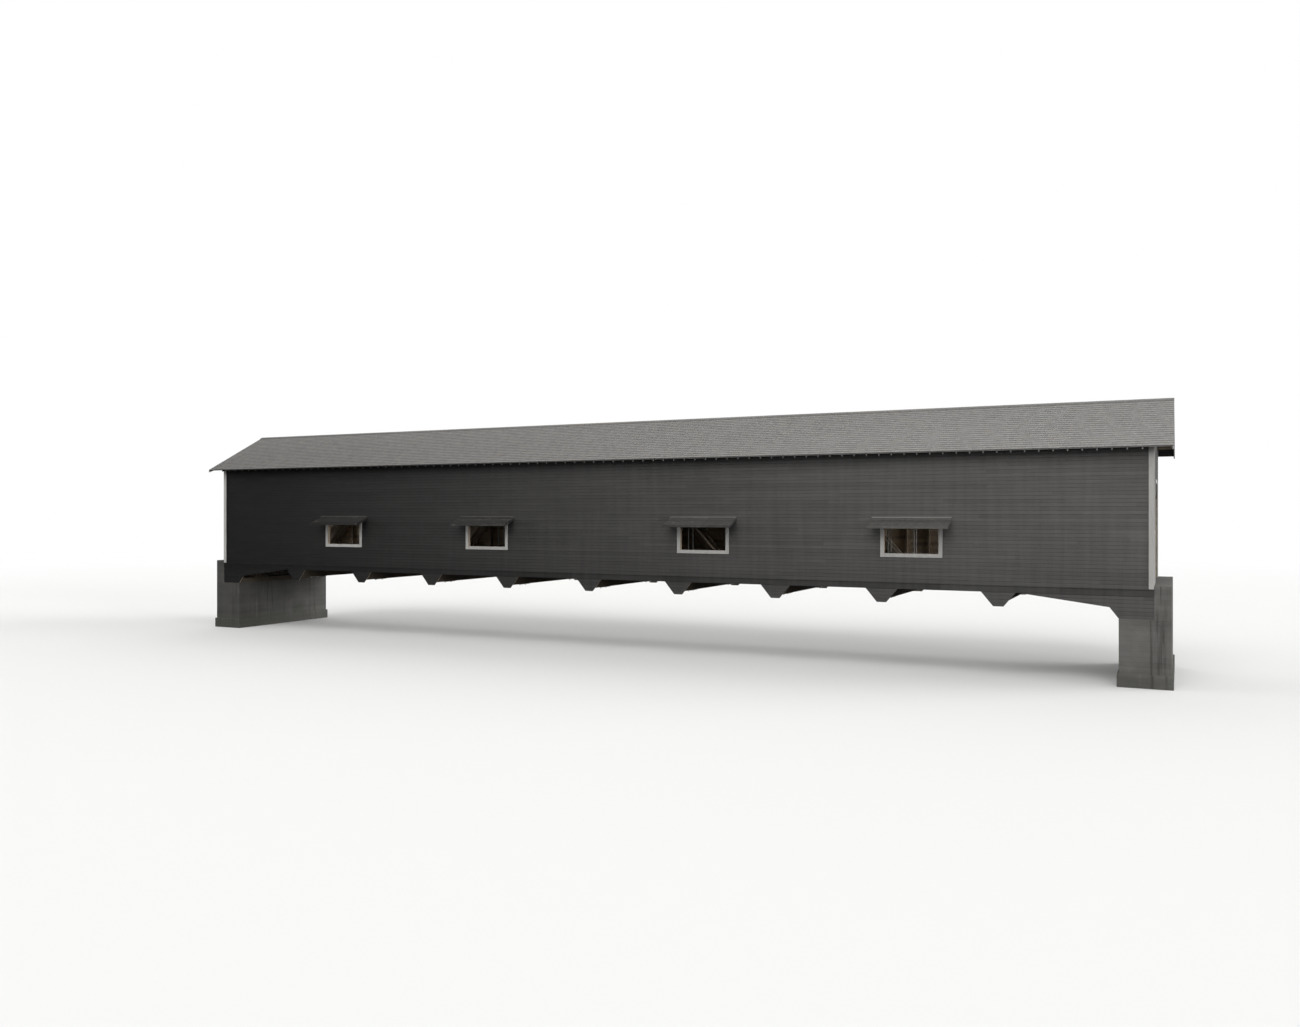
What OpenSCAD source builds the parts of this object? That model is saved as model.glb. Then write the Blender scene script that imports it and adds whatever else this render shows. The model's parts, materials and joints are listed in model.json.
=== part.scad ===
// Housed timber bridge on ten-panel Howe trusses, drawn at half the real size.
// X runs along the bridge, Y across it and Z up. The origin lies under the
// middle of the span, level with the underside of the abutment footings.
// Near is the side of -Y, where the walkway runs outside the truss.

/* [Span] */
// Length of one truss panel
panel = 2743; // [2260:1:3300]
// Number of truss panels
panels = 10; // [10:2:12]
// Distance the side walls run on past the end panel points
wall_past = 535; // [500:1:700]
// Overhang of the roof past each end wall
rake_over = 391; // [200:1:450]

/* [Housing] */
// Width over the siding of both side walls
housing_w = 4050; // [3370:1:4900]
// Thickness of the siding with its backing boards
siding_t = 20; // [14:1:26]
// Depth of the wall posts, measured across the wall
post_d = 70; // [60:1:90]
// Width of the wall posts, measured along the wall
post_w = 51; // [40:1:76]
// Spacing of the wall posts
post_step = 610; // [500:1:700]
// Height of the sill timber under the wall posts
wall_sill_h = 100; // [76:1:140]
// Height of the plate over the wall posts
plate_h = 100; // [76:1:120]
// Width of the plate over the wall posts
plate_w = 100; // [80:1:120]

/* [Roof] */
// Overhang of the eaves past the side walls
eave_over = 300; // [200:1:400]
// Height of the upper edge of the eaves over the underside of the lower chords
eave_up = 3310; // [2750:1:4000]
// Rise of the roof from the eaves to the ridge
roof_rise = 1225; // [1020:1:1480]
// Thickness of the roof boards and shakes
roof_t = 30; // [20:1:40]
// Depth of a rafter
rafter_d = 92; // [70:1:110]
// Thickness of a rafter
rafter_w = 25; // [20:1:38]
// Spacing of the rafters
rafter_step = 305; // [250:1:400]
// Length of the level cut where a rafter sits on the plate
heel = 70; // [50:1:95]
// Depth of a rafter's tail at its tip
tail_d = 50; // [30:1:70]
// Distance a rafter tail stops short of the edge of the roof
tail_back = 25; // [10:1:60]
// Depth of the ridge board
ridge_d = 150; // [120:1:180]
// Depth of a collar tie
collar_d = 76; // [60:1:100]
// Distance from the ridge down to the underside of the collar ties
collar_down = 505; // [400:1:640]
// Thickness of the cap boards along the ridge
cap_t = 10; // [6:1:16]
// Width of each cap board
cap_w = 100; // [70:1:140]

/* [Trusses] */
// Width of one chord timber
stick_w = 101; // [84:1:122]
// Gap between chord timbers, where the rods pass
stick_gap = 51; // [40:1:60]
// Length of the packing blocks between the chord timbers
key_l = 230; // [150:1:300]
// Distance the packing blocks stop short of a chord's top and underside
key_short = 20; // [0:1:40]
// Height of the lower chord
lower_h = 228; // [200:1:260]
// Height of the upper chord
upper_h = 178; // [150:1:200]
// Height of the underside of the lower chords over the footings' underside
floor_z = 2020; // [1900:1:2440]
// Overhang of the upper chord past the last rods
upper_past = 200; // [180:1:300]
// Width of each of the two main braces
brace_w = 152; // [120:1:152]
// Depth of a main brace
brace_d = 165; // [140:1:178]
// Width of the single counterbrace
counter_w = 152; // [100:1:152]
// Depth of a counterbrace
counter_d = 127; // [100:1:150]
// Number of panels on each side of mid span that have a counterbrace
counter_panels = 1; // [1:1:4]
// Length of the sloping seats on the angle blocks
seat_l = 178; // [148:1:214]
// Half the flat between the two seats of an angle block
block_flat = 34; // [30:1:50]
// Diameter of the truss rods
rod_d = 25; // [20:1:32]
// Clearance round a rod in an angle block
rod_clear = 1; // [0.5:0.5:3]
// Thickness of the washer plates
plate_t = 13; // [10:1:16]
// Height of the rod nuts
nut_h = 20; // [16:1:26]
// Distance over the corners of the rod nuts
nut_d = 46; // [40:1:52]
// Length of rod that shows past each nut
rod_past = 12; // [5:1:14]

/* [Floor] */
// Depth of the floor beams
beam_h = 254; // [220:1:254]
// Width of each of the two timbers of a floor beam
beam_w = 102; // [90:1:110]
// Gap between them, where the rods pass
beam_gap = 38; // [36:1:50]
// Height of the stringers
stringer_h = 190; // [150:1:200]
// Width of a stringer
stringer_w = 76; // [60:1:90]
// Number of stringers under the roadway
road_stringers = 7; // [5:1:9]
// Thickness of the deck
deck_t = 51; // [40:1:60]
// Width of the walkway between the posts and the truss
walk_w = 452; // [400:1:520]
// Gap between the far truss and the posts of the far wall
far_gap = 4; // [2:1:10]
// Side of the square wheel guards
guard_w = 76; // [60:1:90]
// Gap between the deck and what stands beside it
deck_gap = 2; // [1:1:5]
// Width of the lateral braces
lateral_w = 102; // [70:1:120]
// Depth of the lateral braces
lateral_d = 76; // [60:1:90]
// Depth of the tie beams over the upper chords
tie_h = 127; // [100:1:130]
// Width of each of the two timbers of a tie beam
tie_w = 76; // [60:1:90]
// Gap between them, where the rod ends stand
tie_gap = 80; // [78:1:90]
// Distance from the top of the wall plates down to the top of the tie beams
tie_drop = 12; // [0:1:30]
// Height of the upper lateral braces over the underside of the upper chords
lateral_up = 38; // [10:1:60]

/* [Windows] */
// Panel point, counted from the end of the bridge, where the outer window ends
outer_point = 2; // [1:1:2]
// Panel point, counted from the end of the bridge, where the inner window ends
inner_point = 4; // [3:1:4]
// Distance a window runs past its panel point
window_past = 25; // [0:1:40]
// Width of a window over its side boards
window_w = 1492; // [1200:1:1500]
// Height of the foot of the window's boards over the underside of the lower chords
trim_up = 770; // [700:1:850]
// Height of the board under a window opening
trim_foot = 90; // [60:1:110]
// Height of a window opening
opening_h = 760; // [640:1:780]
// Width of the window's side boards
trim_w = 92; // [70:1:110]
// Height of the board over a window opening
trim_head = 65; // [40:1:68]
// Thickness of the trim and skirt boards
trim_t = 12; // [8:1:16]
// Depth of the header and sill timbers of a window
header_d = 70; // [60:1:90]

/* [Hoods] */
// Height of the top of a hood at the wall over the window opening
hood_up = 96; // [92:1:160]
// Fall of a hood from the wall to its outer edge
hood_fall = 186; // [150:1:240]
// Distance a hood stands out from the wall
hood_out = 470; // [400:1:520]
// Distance a hood runs past the window on each side
hood_past = 212; // [100:1:260]
// Thickness of the hood boards
hood_t = 20; // [14:1:26]
// Depth of the bracket at each end of a hood
bracket_d = 50; // [40:1:55]
// Width of the hood brackets
bracket_w = 38; // [30:1:50]
// Height of the hood's front board
fascia_h = 60; // [50:1:80]
// Height of the strip over the top of a hood
flash_h = 36; // [20:1:50]

/* [Skirt and covers] */
// Height of the skirt board
skirt_h = 143; // [120:1:160]
// Height of the drip cap over the skirt board
drip_h = 22; // [16:1:30]
// Distance the drip cap stands out from the siding
drip_out = 26; // [20:1:34]
// Bevel along the upper edge of the drip cap
drip_cut = 10; // [4:1:14]
// Width of the corner boards
corner_w = 105; // [80:1:130]
// Width of a floor beam cover where it meets the skirt
cover_top = 785; // [600:1:900]
// Width of a floor beam cover at its foot
cover_foot = 230; // [180:1:400]
// Drop of the covers below the skirt
cover_drop = 335; // [300:1:350]
// Distance the sloping edge stops short of the first cover
slope_short = 20; // [5:1:100]
// Distance from the end panel point to the foot of the sloping edge
slope_foot = 362; // [300:1:450]
// Drop of the foot of the sloping edge
slope_drop = 260; // [200:1:300]

/* [Abutments] */
// Height of the footing
footing_h = 300; // [200:1:400]
// Distance the footing stands out round the stem
footing_out = 40; // [20:1:160]
// Height of each of the two layers of bolster timber
bolster_h = 176; // [150:1:200]
// Distance from the end panel point to the river face
river_in = 175; // [140:1:220]
// Distance from the end panel point back to the wall behind the seat
seat_back = 355; // [340:1:360]
// Depth of the ledge that carries the stringers
ledge = 90; // [80:1:100]
// Side of the square bearing sills
sill_h = 152; // [130:1:170]
// Distance from the river face to the first bearing sill
sill_in = 20; // [10:1:40]
// Distance between the centres of the bearing sills
sill_step = 310; // [250:1:320]
// Reach of the lower bolsters past the river face
lower_reach = 186; // [120:1:190]
// Reach of the upper bolsters past the river face
upper_reach = 916; // [600:1:920]
// Cut at the corner of a bolster
bolster_cut = 60; // [40:1:80]

/* [End walls] */
// Height of the road opening over the deck
road_h = 2300; // [2100:1:2350]
// Distance the road opening stays inside the trusses on each side
road_inset = 40; // [20:1:60]
// Cut at the upper corners of the road opening
road_cut = 350; // [200:1:500]
// Height of the walkway opening over the deck
walk_h = 1150; // [1050:1:1300]
// Distance the walkway opening stays clear of the truss
walk_inset = 20; // [15:1:40]
// Width of the board beside and over the walkway opening
walk_trim_w = 60; // [50:1:80]
// Height of the header beam over the openings
head_h = 150; // [120:1:180]
// Distance from the road opening up to the header beam
head_up = 40; // [20:1:60]
// Spacing of the studs over the header beam
stud_step = 900; // [700:1:900]

/* [Hidden] */

// Faces on a rod
rod_fn = 24;

// Room left where a piece meets a sloping face
slope_gap = 0.2;

// Room left between two timbers of one kind that butt against each other
butt_gap = 0.3;

// Room left round a rod in its nut
thread_gap = 0.2;

// Room left between a washer plate and the tie beams beside it
plate_gap = 1;

// Timbers side by side in each chord, where the rods pass in the two outer gaps
sticks = 4;

// Places along the bridge
half_span = panels * panel / 2;
wall_half = half_span + wall_past;
roof_half = wall_half + rake_over;
river_x = half_span - river_in;
chord_half = half_span + seat_back;
deck_half = chord_half + ledge - deck_gap;
frame_half = chord_half + ledge;
skin_half = wall_half - siding_t;

// Places across the bridge
half_w = housing_w / 2;
inner_y = half_w - siding_t;
post_y = inner_y - post_d;
plate_y = inner_y - plate_w;
eave_y = half_w + eave_over;
truss_w = sticks * stick_w + (sticks - 1) * stick_gap;
near_y = -post_y + walk_w + truss_w / 2;
far_y = post_y - far_gap - truss_w / 2;
road_y0 = near_y + truss_w / 2;
road_y1 = far_y - truss_w / 2;
rod_y = stick_w + stick_gap;
walk_edge = near_y - truss_w / 2 - deck_gap;

// Heights
lower_top = floor_z + lower_h;
beam_z = floor_z - beam_h;
deck_low = floor_z + stringer_h;
deck_z = deck_low + deck_t;
bolster_z = floor_z - 2 * bolster_h;
seat_z = bolster_z - sill_h;
skirt_z = floor_z + skirt_h;
board_z = skirt_z + drip_h;
trim_z = floor_z + trim_up;
opening_z = trim_z + trim_foot;
opening_top = opening_z + opening_h;
hood_z = opening_top + hood_up;
eave_z = floor_z + eave_up;
ridge_z = eave_z + roof_rise;
collar_z = ridge_z - collar_down;

// Roof slope, with its layers measured plumb
slope = roof_rise / eave_y;
tilt = atan(slope);
roof_v = roof_t / cos(tilt);
rafter_v = rafter_d / cos(tilt);
tail_v = tail_d / cos(tilt);
function roof_top(y) = ridge_z - y * slope;
function roof_low(y) = roof_top(y) - roof_v;
function rafter_low(y) = roof_low(y) - rafter_v;
function roof_seat(y) = roof_low(y) - slope_gap;
siding_top = rafter_low(half_w);
heel_y = inner_y - heel;
ridge_low = roof_low(rafter_w / 2) - ridge_d;
rafter_count = floor((frame_half - rafter_w) / rafter_step);
plate_z = rafter_low(heel_y);
plate_low = plate_z - plate_h;
tie_z = floor(plate_z) - tie_drop;
upper_z = tie_z - tie_h;
upper_low = upper_z - upper_h;

// Braces: the angle at which square ends meet the seats of both blocks
clear_h = upper_low - lower_top;
function next_angle(a) = atan((clear_h - seat_l * cos(a)) / (panel - 2 * block_flat - seat_l * sin(a)));
function brace_angle(a, n) = n == 0 ? a : brace_angle(next_angle(a), n - 1);
brace_a = brace_angle(45, 30);
brace_l = (clear_h - seat_l * cos(brace_a)) / sin(brace_a);
block_h = seat_l * cos(brace_a);
block_half = block_flat + seat_l * sin(brace_a);
block_back = 2 * block_flat;
seat_dx = block_flat + seat_l / 2 * sin(brace_a);
seat_dz = block_h / 2;

// Windows of the near wall and of the far wall: the distance of each centre from mid span
near_windows = [for (p = [outer_point, inner_point]) half_span - p * panel + window_w / 2 - window_past];
far_windows = [near_windows[1]];
opening_w = window_w - 2 * trim_w;

// Places of the end openings
road_open0 = road_y0 + road_inset;
road_open1 = road_y1 - road_inset;
road_top = deck_z + road_h;
head_z = min(road_top + head_up, plate_low - head_h - slope_gap);
walk_open0 = -half_w + corner_w;
walk_open1 = near_y - truss_w / 2 - walk_inset;

// Hood slope, with its layers measured plumb, and the hood's outer edge
hood_slope = hood_fall / hood_out;
hood_v = hood_t / cos(atan(hood_slope));
bracket_v = bracket_d / cos(atan(hood_slope));
hood_half = window_w / 2 + hood_past;
hood_y = half_w + hood_out;
hood_low = hood_z - hood_fall;

function point_x(i) = (i - panels / 2) * panel;

module box(x0, x1, y0, y1, z0, z1) {
    translate([x0, y0, z0]) cube([x1 - x0, y1 - y0, z1 - z0]);
}

// The same piece at both ends of the bridge
module both_ends() {
    children();
    mirror([1, 0, 0]) children();
}

// The same piece on both sides of the bridge
module both_sides() {
    children();
    mirror([0, 1, 0]) children();
}

// An outline drawn in X and Z, extruded along Y from y0 to y1
module along_y(y0, y1) {
    translate([0, y1, 0]) rotate([90, 0, 0]) linear_extrude(y1 - y0) children();
}

// An outline drawn in Y and Z, extruded along X from x0 to x1
module along_x(x0, x1) {
    translate([x0, 0, 0]) rotate([90, 0, 90]) linear_extrude(x1 - x0) children();
}

// One child at the near face of each chord timber, in both trusses
module at_sticks() {
    for (y = [near_y, far_y]) for (k = [0 : sticks - 1])
        translate([0, y - truss_w / 2 + k * (stick_w + stick_gap), 0]) children();
}

// One child at each of the given distances from mid span, to both sides
module at_centres(windows) {
    for (x = windows) for (s = [-1, 1]) translate([s * x, 0, 0]) children();
}

// One child at each window of both side walls
module at_windows() {
    at_centres(near_windows) children();
    mirror([0, 1, 0]) at_centres(far_windows) children();
}

// Concrete abutment: footing, stem, ledge and approach head
module abutment() {
    stem_x = -roof_half + footing_out;
    box(-roof_half, -river_x + footing_out, -half_w - footing_out, half_w + footing_out, 0, footing_h);
    box(stem_x, -river_x, -half_w, half_w, footing_h, seat_z);
    box(stem_x, -chord_half, -inner_y, inner_y, seat_z, floor_z);
    box(stem_x, -frame_half, -inner_y, inner_y, floor_z, deck_z);
    box(stem_x, -wall_half, -half_w, half_w, seat_z, deck_z);
}

module abutments() {
    color("darkgray") both_ends() abutment();
}

module bearing_sills() {
    color("burlywood") both_ends() for (k = [0, 1]) {
        x = -river_x - sill_in - sill_h - k * sill_step;
        box(x, x + sill_h, -inner_y, inner_y, seat_z, bolster_z);
    }
}

// One layer of bolster timber under each chord timber, with a cut corner
module bolster_layer(z, reach) {
    x = -river_x + reach;
    color("burlywood") both_ends() at_sticks() along_y(0, stick_w) polygon([
        [-chord_half, z], [x - bolster_cut, z], [x, z + bolster_cut], [x, z + bolster_h],
        [-chord_half, z + bolster_h]
    ]);
}

module lower_bolsters() {
    bolster_layer(bolster_z, lower_reach);
}

module upper_bolsters() {
    bolster_layer(bolster_z + bolster_h, upper_reach);
}

// Timbers of both chords at one height
module chord_timbers(half, z0, z1) {
    color("burlywood") at_sticks() box(-half, half, 0, stick_w, z0, z1);
}

module lower_chords() {
    chord_timbers(chord_half, floor_z, lower_top);
}

module upper_chords() {
    chord_timbers(half_span - panel + upper_past, upper_low, upper_z);
}

// Packing blocks between the timbers of a chord, in the middle of each panel
module keys(first, last, z0, z1) {
    for (y = [near_y, far_y]) for (k = [1 : sticks - 1]) for (i = [first : last]) {
        x = point_x(i) + panel / 2;
        y1 = y - truss_w / 2 + k * (stick_w + stick_gap);
        box(x - key_l / 2, x + key_l / 2, y1 - stick_gap, y1, z0 + key_short, z1 - key_short);
    }
}

module chord_keys() {
    color("peru") {
        keys(0, panels - 1, floor_z, lower_top);
        keys(1, panels - 2, upper_low, upper_z);
    }
}

// A square-ended brace that rises to the right from the block at x = 0
module leg(w, d) {
    translate([seat_dx, -w / 2, lower_top + seat_dz]) rotate([0, -brace_a, 0])
        translate([slope_gap / 2, 0, -d / 2]) cube([brace_l - slope_gap, w, d]);
}

// Main braces in pairs, rising toward mid span
module main_braces() {
    color("burlywood") both_ends() for (y = [near_y, far_y]) for (i = [0 : panels / 2 - 1])
        for (s = [-1, 1])
            translate([point_x(i), y + s * (truss_w - brace_w) / 2, 0]) leg(brace_w, brace_d);
}

// Single counterbraces of the middle panels, rising away from mid span between the main braces
module counterbraces() {
    middle = panels / 2;
    color("burlywood") both_ends() for (y = [near_y, far_y])
        for (i = [middle - counter_panels + 1 : middle])
            translate([point_x(i), y, 0]) mirror([1, 0, 0]) leg(counter_w, counter_d);
}

// Two upright holes for a pair of rods, from z0 up to z1
module rod_holes(z0, z1) {
    for (s = [-1, 1]) translate([0, s * rod_y, z0])
        cylinder(h = z1 - z0, d = rod_d + 2 * rod_clear, $fn = rod_fn);
}

// Angle block with a seat for a brace on each side and holes for the rods
module angle_block() {
    difference() {
        along_y(-truss_w / 2, truss_w / 2)
            polygon([[-block_half, 0], [block_half, 0], [block_flat, block_h], [-block_flat, block_h]]);
        rod_holes(-1, block_h + 1);
    }
}

// End block with one seat and an upright back
module end_block() {
    along_y(-truss_w / 2, truss_w / 2) polygon([
        [-block_back, 0], [block_half, 0], [block_flat, block_h], [-block_back, block_h]
    ]);
}

module angle_blocks() {
    color("dimgray") for (y = [near_y, far_y]) {
        both_ends() translate([point_x(0), y, lower_top]) end_block();
        for (i = [1 : panels - 1]) {
            translate([point_x(i), y, lower_top]) angle_block();
            translate([point_x(i), y, upper_low]) mirror([0, 0, 1]) angle_block();
        }
    }
}

// One child at each pair of rods, in both trusses
module at_rod_pairs() {
    for (y = [near_y, far_y]) for (i = [1 : panels - 1]) translate([point_x(i), y, 0]) children();
}

module tie_rods() {
    past = plate_t + nut_h + rod_past;
    color("slategray") at_rod_pairs() for (s = [-1, 1]) translate([0, s * rod_y, beam_z - past])
        cylinder(h = upper_z - beam_z + 2 * past, d = rod_d, $fn = rod_fn);
}

// Washer plate for a pair of rods, half wide to each side, with its underside at z
module washer_plate(half, z) {
    plate_y = rod_y + (stick_gap + stick_w) / 2;
    difference() {
        box(-half, half, -plate_y, plate_y, z, z + plate_t);
        rod_holes(z - 1, z + plate_t + 1);
    }
}

module washer_plates() {
    color("slategray") at_rod_pairs() {
        washer_plate(beam_w, beam_z - plate_t);
        washer_plate(tie_gap / 2 - plate_gap, upper_z);
    }
}

// Hexagonal nut on a rod, with its underside at z
module rod_nut(z) {
    translate([0, 0, z]) difference() {
        cylinder(h = nut_h, d = nut_d, $fn = 6);
        translate([0, 0, -1]) cylinder(h = nut_h + 2, d = rod_d + 2 * thread_gap, $fn = rod_fn);
    }
}

module rod_nuts() {
    color("slategray") at_rod_pairs() for (s = [-1, 1]) translate([0, s * rod_y, 0]) {
        rod_nut(beam_z - plate_t - nut_h);
        rod_nut(upper_z + plate_t);
    }
}

// Paired timbers that run across the bridge on both sides of the rods
module paired(gap, w, y, z0, z1) {
    for (i = [1 : panels - 1]) for (s = [-1, 1]) {
        x = point_x(i) + s * (gap + w) / 2;
        box(x - w / 2, x + w / 2, -y, y, z0, z1);
    }
}

module floor_beams() {
    color("burlywood") paired(beam_gap, beam_w, inner_y, beam_z, floor_z);
}

module tie_beams() {
    color("burlywood") paired(tie_gap, tie_w, plate_y, upper_z, tie_z);
}

module stringers() {
    road_step = (road_y1 - road_y0 - 2 * deck_gap - stringer_w) / (road_stringers - 1);
    walk_y1 = walk_edge - stringer_w;
    color("burlywood") {
        for (k = [0 : road_stringers - 1]) {
            y = road_y0 + deck_gap + k * road_step;
            box(-deck_half, deck_half, y, y + stringer_w, floor_z, deck_low);
        }
        for (y = [-post_y + deck_gap, walk_y1])
            box(-deck_half, deck_half, y, y + stringer_w, floor_z, deck_low);
    }
}

module road_deck() {
    color("tan") box(-deck_half, deck_half, road_y0 + deck_gap, road_y1 - deck_gap, deck_low, deck_z);
}

module walkway_deck() {
    color("tan") box(-deck_half, deck_half, -post_y + deck_gap, walk_edge, deck_low, deck_z);
}

module wheel_guards() {
    color("burlywood") for (y = [road_y0 + deck_gap, road_y1 - deck_gap - guard_w])
        box(-chord_half, chord_half, y, y + guard_w, deck_z, deck_z + guard_w);
}

// Diagonal of a bay, w wide, rising to the right for s = 1
module diagonal(run, rise, s, w) {
    rotate(s * atan(rise / run)) square([2 * run, w], center = true);
}

// Crossed timbers in one bay from x0 to x1: one runs through, the other butts against it
module cross(x0, x1) {
    run = x1 - x0;
    rise = road_y1 - road_y0;
    intersection() {
        translate([x0, road_y0]) square([run, rise]);
        translate([x0 + run / 2, road_y0 + rise / 2]) {
            diagonal(run, rise, 1, lateral_w);
            difference() {
                diagonal(run, rise, -1, lateral_w);
                diagonal(run, rise, 1, lateral_w + 2 * butt_gap);
            }
        }
    }
}

module lower_laterals() {
    gap = beam_gap / 2 + beam_w;
    color("burlywood") translate([0, 0, floor_z - lateral_d]) linear_extrude(lateral_d) {
        for (i = [1 : panels - 2]) cross(point_x(i) + gap, point_x(i + 1) - gap);
        both_ends() cross(-river_x, point_x(1) - gap);
    }
}

module upper_laterals() {
    color("burlywood") translate([0, 0, upper_low + lateral_up]) linear_extrude(lateral_d)
        for (i = [1 : panels - 2]) cross(point_x(i) + block_flat, point_x(i + 1) - block_flat);
}

// Siding of a side wall, in three bands that meet at board joints
module siding(x0, x1, z0, z1) {
    color("dimgray") box(x0, x1, -half_w, -inner_y, z0, z1);
}

module upper_siding() {
    both_sides() siding(-wall_half, wall_half, opening_top, siding_top);
}

// Siding beside the window openings of one wall
module window_band(windows) {
    sides = [for (x = windows) for (s = [-1, 1]) s * opening_w / 2 - x];
    edges = concat([-wall_half], sides);
    last = len(edges) - 1;
    both_ends() for (k = [0 : 2 : last - 1]) siding(edges[k], edges[k + 1], opening_z, opening_top);
    siding(edges[last], -edges[last], opening_z, opening_top);
}

module window_siding() {
    window_band(near_windows);
    mirror([0, 1, 0]) window_band(far_windows);
}

module lower_siding() {
    both_sides() siding(-wall_half, wall_half, floor_z, opening_z);
}

// Outline of the cover over one floor beam end
module cover_outline(x) {
    polygon([
        [x - cover_top / 2, floor_z], [x - cover_foot / 2, floor_z - cover_drop],
        [x + cover_foot / 2, floor_z - cover_drop], [x + cover_top / 2, floor_z]
    ]);
}

// Covers that hang below the skirt, with the sloping end pieces
module beam_covers() {
    slope_x = point_x(1) - cover_top / 2 - slope_short;
    color("dimgray") both_sides() along_y(-half_w, -inner_y) {
        for (i = [1 : panels - 1]) cover_outline(point_x(i));
        both_ends() polygon([
            [-wall_half, seat_z], [-river_x, seat_z], [-half_span + slope_foot, floor_z - slope_drop],
            [slope_x, floor_z], [-wall_half, floor_z]
        ]);
    }
}

// Skirt board with a drip cap along its top
module skirt_boards() {
    y = -half_w;
    color("gray") both_sides() along_x(-wall_half, wall_half) polygon([
        [y, floor_z], [y, board_z], [y - drip_out + drip_cut, board_z],
        [y - drip_out, board_z - drip_cut], [y - drip_out, skirt_z], [y - trim_t, skirt_z],
        [y - trim_t, floor_z]
    ]);
}

// Corner boards, one leg on the side wall and one on the end wall
module corner_boards() {
    z1 = roof_low(half_w + trim_t) - 1;
    x = -wall_half;
    y = -half_w;
    color("white") both_ends() both_sides() {
        box(x, x + corner_w, y - trim_t, y, board_z, z1);
        box(x - trim_t, x, y - trim_t, y + corner_w, deck_z, z1);
    }
}

// Boards round each window opening
module window_trim() {
    w = window_w / 2;
    color("white") at_windows() along_y(-half_w - trim_t, -half_w) difference() {
        translate([-w, trim_z]) square([2 * w, opening_top + trim_head - trim_z]);
        translate([-opening_w / 2, opening_z]) square([opening_w, opening_top - opening_z]);
    }
}

// Sloping boards of the hoods
module window_hoods() {
    color("gray") at_windows() along_x(-hood_half, hood_half) polygon([
        [-half_w, hood_z], [-hood_y, hood_low], [-hood_y, hood_low - hood_v], [-half_w, hood_z - hood_v]
    ]);
}

// A bracket under each end of a hood, from the wall to the front board
module hood_brackets() {
    z0 = hood_z - hood_v;
    z1 = hood_low - hood_v;
    color("gray") at_windows() both_ends() along_x(-hood_half, -hood_half + bracket_w) polygon([
        [-half_w, z0], [-hood_y, z1], [-hood_y, z1 - bracket_v], [-half_w, z0 - bracket_v]
    ]);
}

// Front board of each hood, and the strip where it meets the wall
module hood_trim() {
    y0 = -half_w;
    y1 = y0 - trim_t;
    z0 = hood_z + slope_gap;
    z1 = hood_z + flash_h;
    color("gray") at_windows() {
        box(-hood_half, hood_half, -hood_y - trim_t, -hood_y, hood_low - fascia_h, hood_low);
        along_x(-hood_half, hood_half)
            polygon([[y0, z0], [y0, z1], [y1, z1], [y1, z0 - trim_t * hood_slope]]);
    }
}

// True where x lies within w of the middle of one of the windows
function in_window(x, w, windows) = len([for (c = windows) if (abs(abs(x) - c) < w) 1]) > 0;

// One post of a side wall with its middle at x
module post(x, z0, z1) {
    box(x - post_w / 2, x + post_w / 2, -inner_y, -post_y, z0, z1);
}

// Posts of one side wall, cut short over and under each window
module post_row(windows) {
    count = floor((frame_half - post_w) / post_step);
    z0 = floor_z + wall_sill_h;
    w = opening_w / 2;
    for (k = [-count : count]) {
        x = k * post_step;
        whole = in_window(x, w + 2 * post_w, windows) ? [] : [[z0, plate_low]];
        short = [[z0, opening_z - header_d], [opening_top + header_d, plate_low]];
        for (t = in_window(x, w - post_w, windows) ? short : whole) post(x, t[0], t[1]);
    }
    at_centres(windows) for (s = [-1, 1]) post(s * (w + post_w / 2), z0, plate_low);
}

module wall_posts() {
    color("burlywood") {
        post_row(near_windows);
        mirror([0, 1, 0]) post_row(far_windows);
    }
}

// Sill timbers under the posts and plates over them
module wall_plates() {
    color("burlywood") both_sides() {
        box(-deck_half, deck_half, -inner_y, -post_y, floor_z, floor_z + wall_sill_h);
        box(-skin_half, skin_half, -inner_y, -plate_y, plate_low, plate_z);
    }
}

module window_headers() {
    w = opening_w / 2;
    color("burlywood") at_windows() {
        box(-w, w, -inner_y, -post_y, opening_z - header_d, opening_z);
        box(-w, w, -inner_y, -post_y, opening_top, opening_top + header_d);
    }
}

// One rafter of the near slope, with a seat cut over the plate and a tapered tail
module rafter() {
    y0 = rafter_w / 2;
    y1 = eave_y - tail_back;
    polygon([
        [-y0, roof_seat(y0)], [-y1, roof_seat(y1)], [-y1, roof_low(y1) - tail_v],
        [-half_w, siding_top], [-inner_y, rafter_low(inner_y)], [-inner_y, plate_z],
        [-heel_y, plate_z], [-y0, rafter_low(y0)]
    ]);
}

module rafters() {
    color("burlywood") both_sides() for (k = [-rafter_count : rafter_count]) {
        x = k * rafter_step - rafter_w / 2;
        along_x(x, x + rafter_w) rafter();
    }
}

// Collar ties nailed to the side of every second pair of rafters
module collar_ties() {
    top = (roof_seat(0) - collar_z - collar_d) / slope;
    foot = (roof_seat(0) - collar_z) / slope;
    color("burlywood") for (k = [-rafter_count + rafter_count % 2 : 2 : rafter_count]) {
        x = k * rafter_step + rafter_w / 2;
        along_x(x, x + rafter_w) polygon([
            [-foot, collar_z], [foot, collar_z],
            [top, collar_z + collar_d], [-top, collar_z + collar_d]
        ]);
    }
}

module ridge_board() {
    y = rafter_w / 2;
    color("burlywood") box(-skin_half, skin_half, -y, y, ridge_low, ridge_low + ridge_d);
}

// Boards and shakes of the near slope
module roof_slope() {
    color("lightgray") along_x(-roof_half, roof_half) polygon([
        [0, roof_top(0)], [-eave_y, roof_top(eave_y)], [-eave_y, roof_low(eave_y)], [0, roof_low(0)]
    ]);
}

module near_roof() {
    roof_slope();
}

module far_roof() {
    mirror([0, 1, 0]) roof_slope();
}

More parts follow.
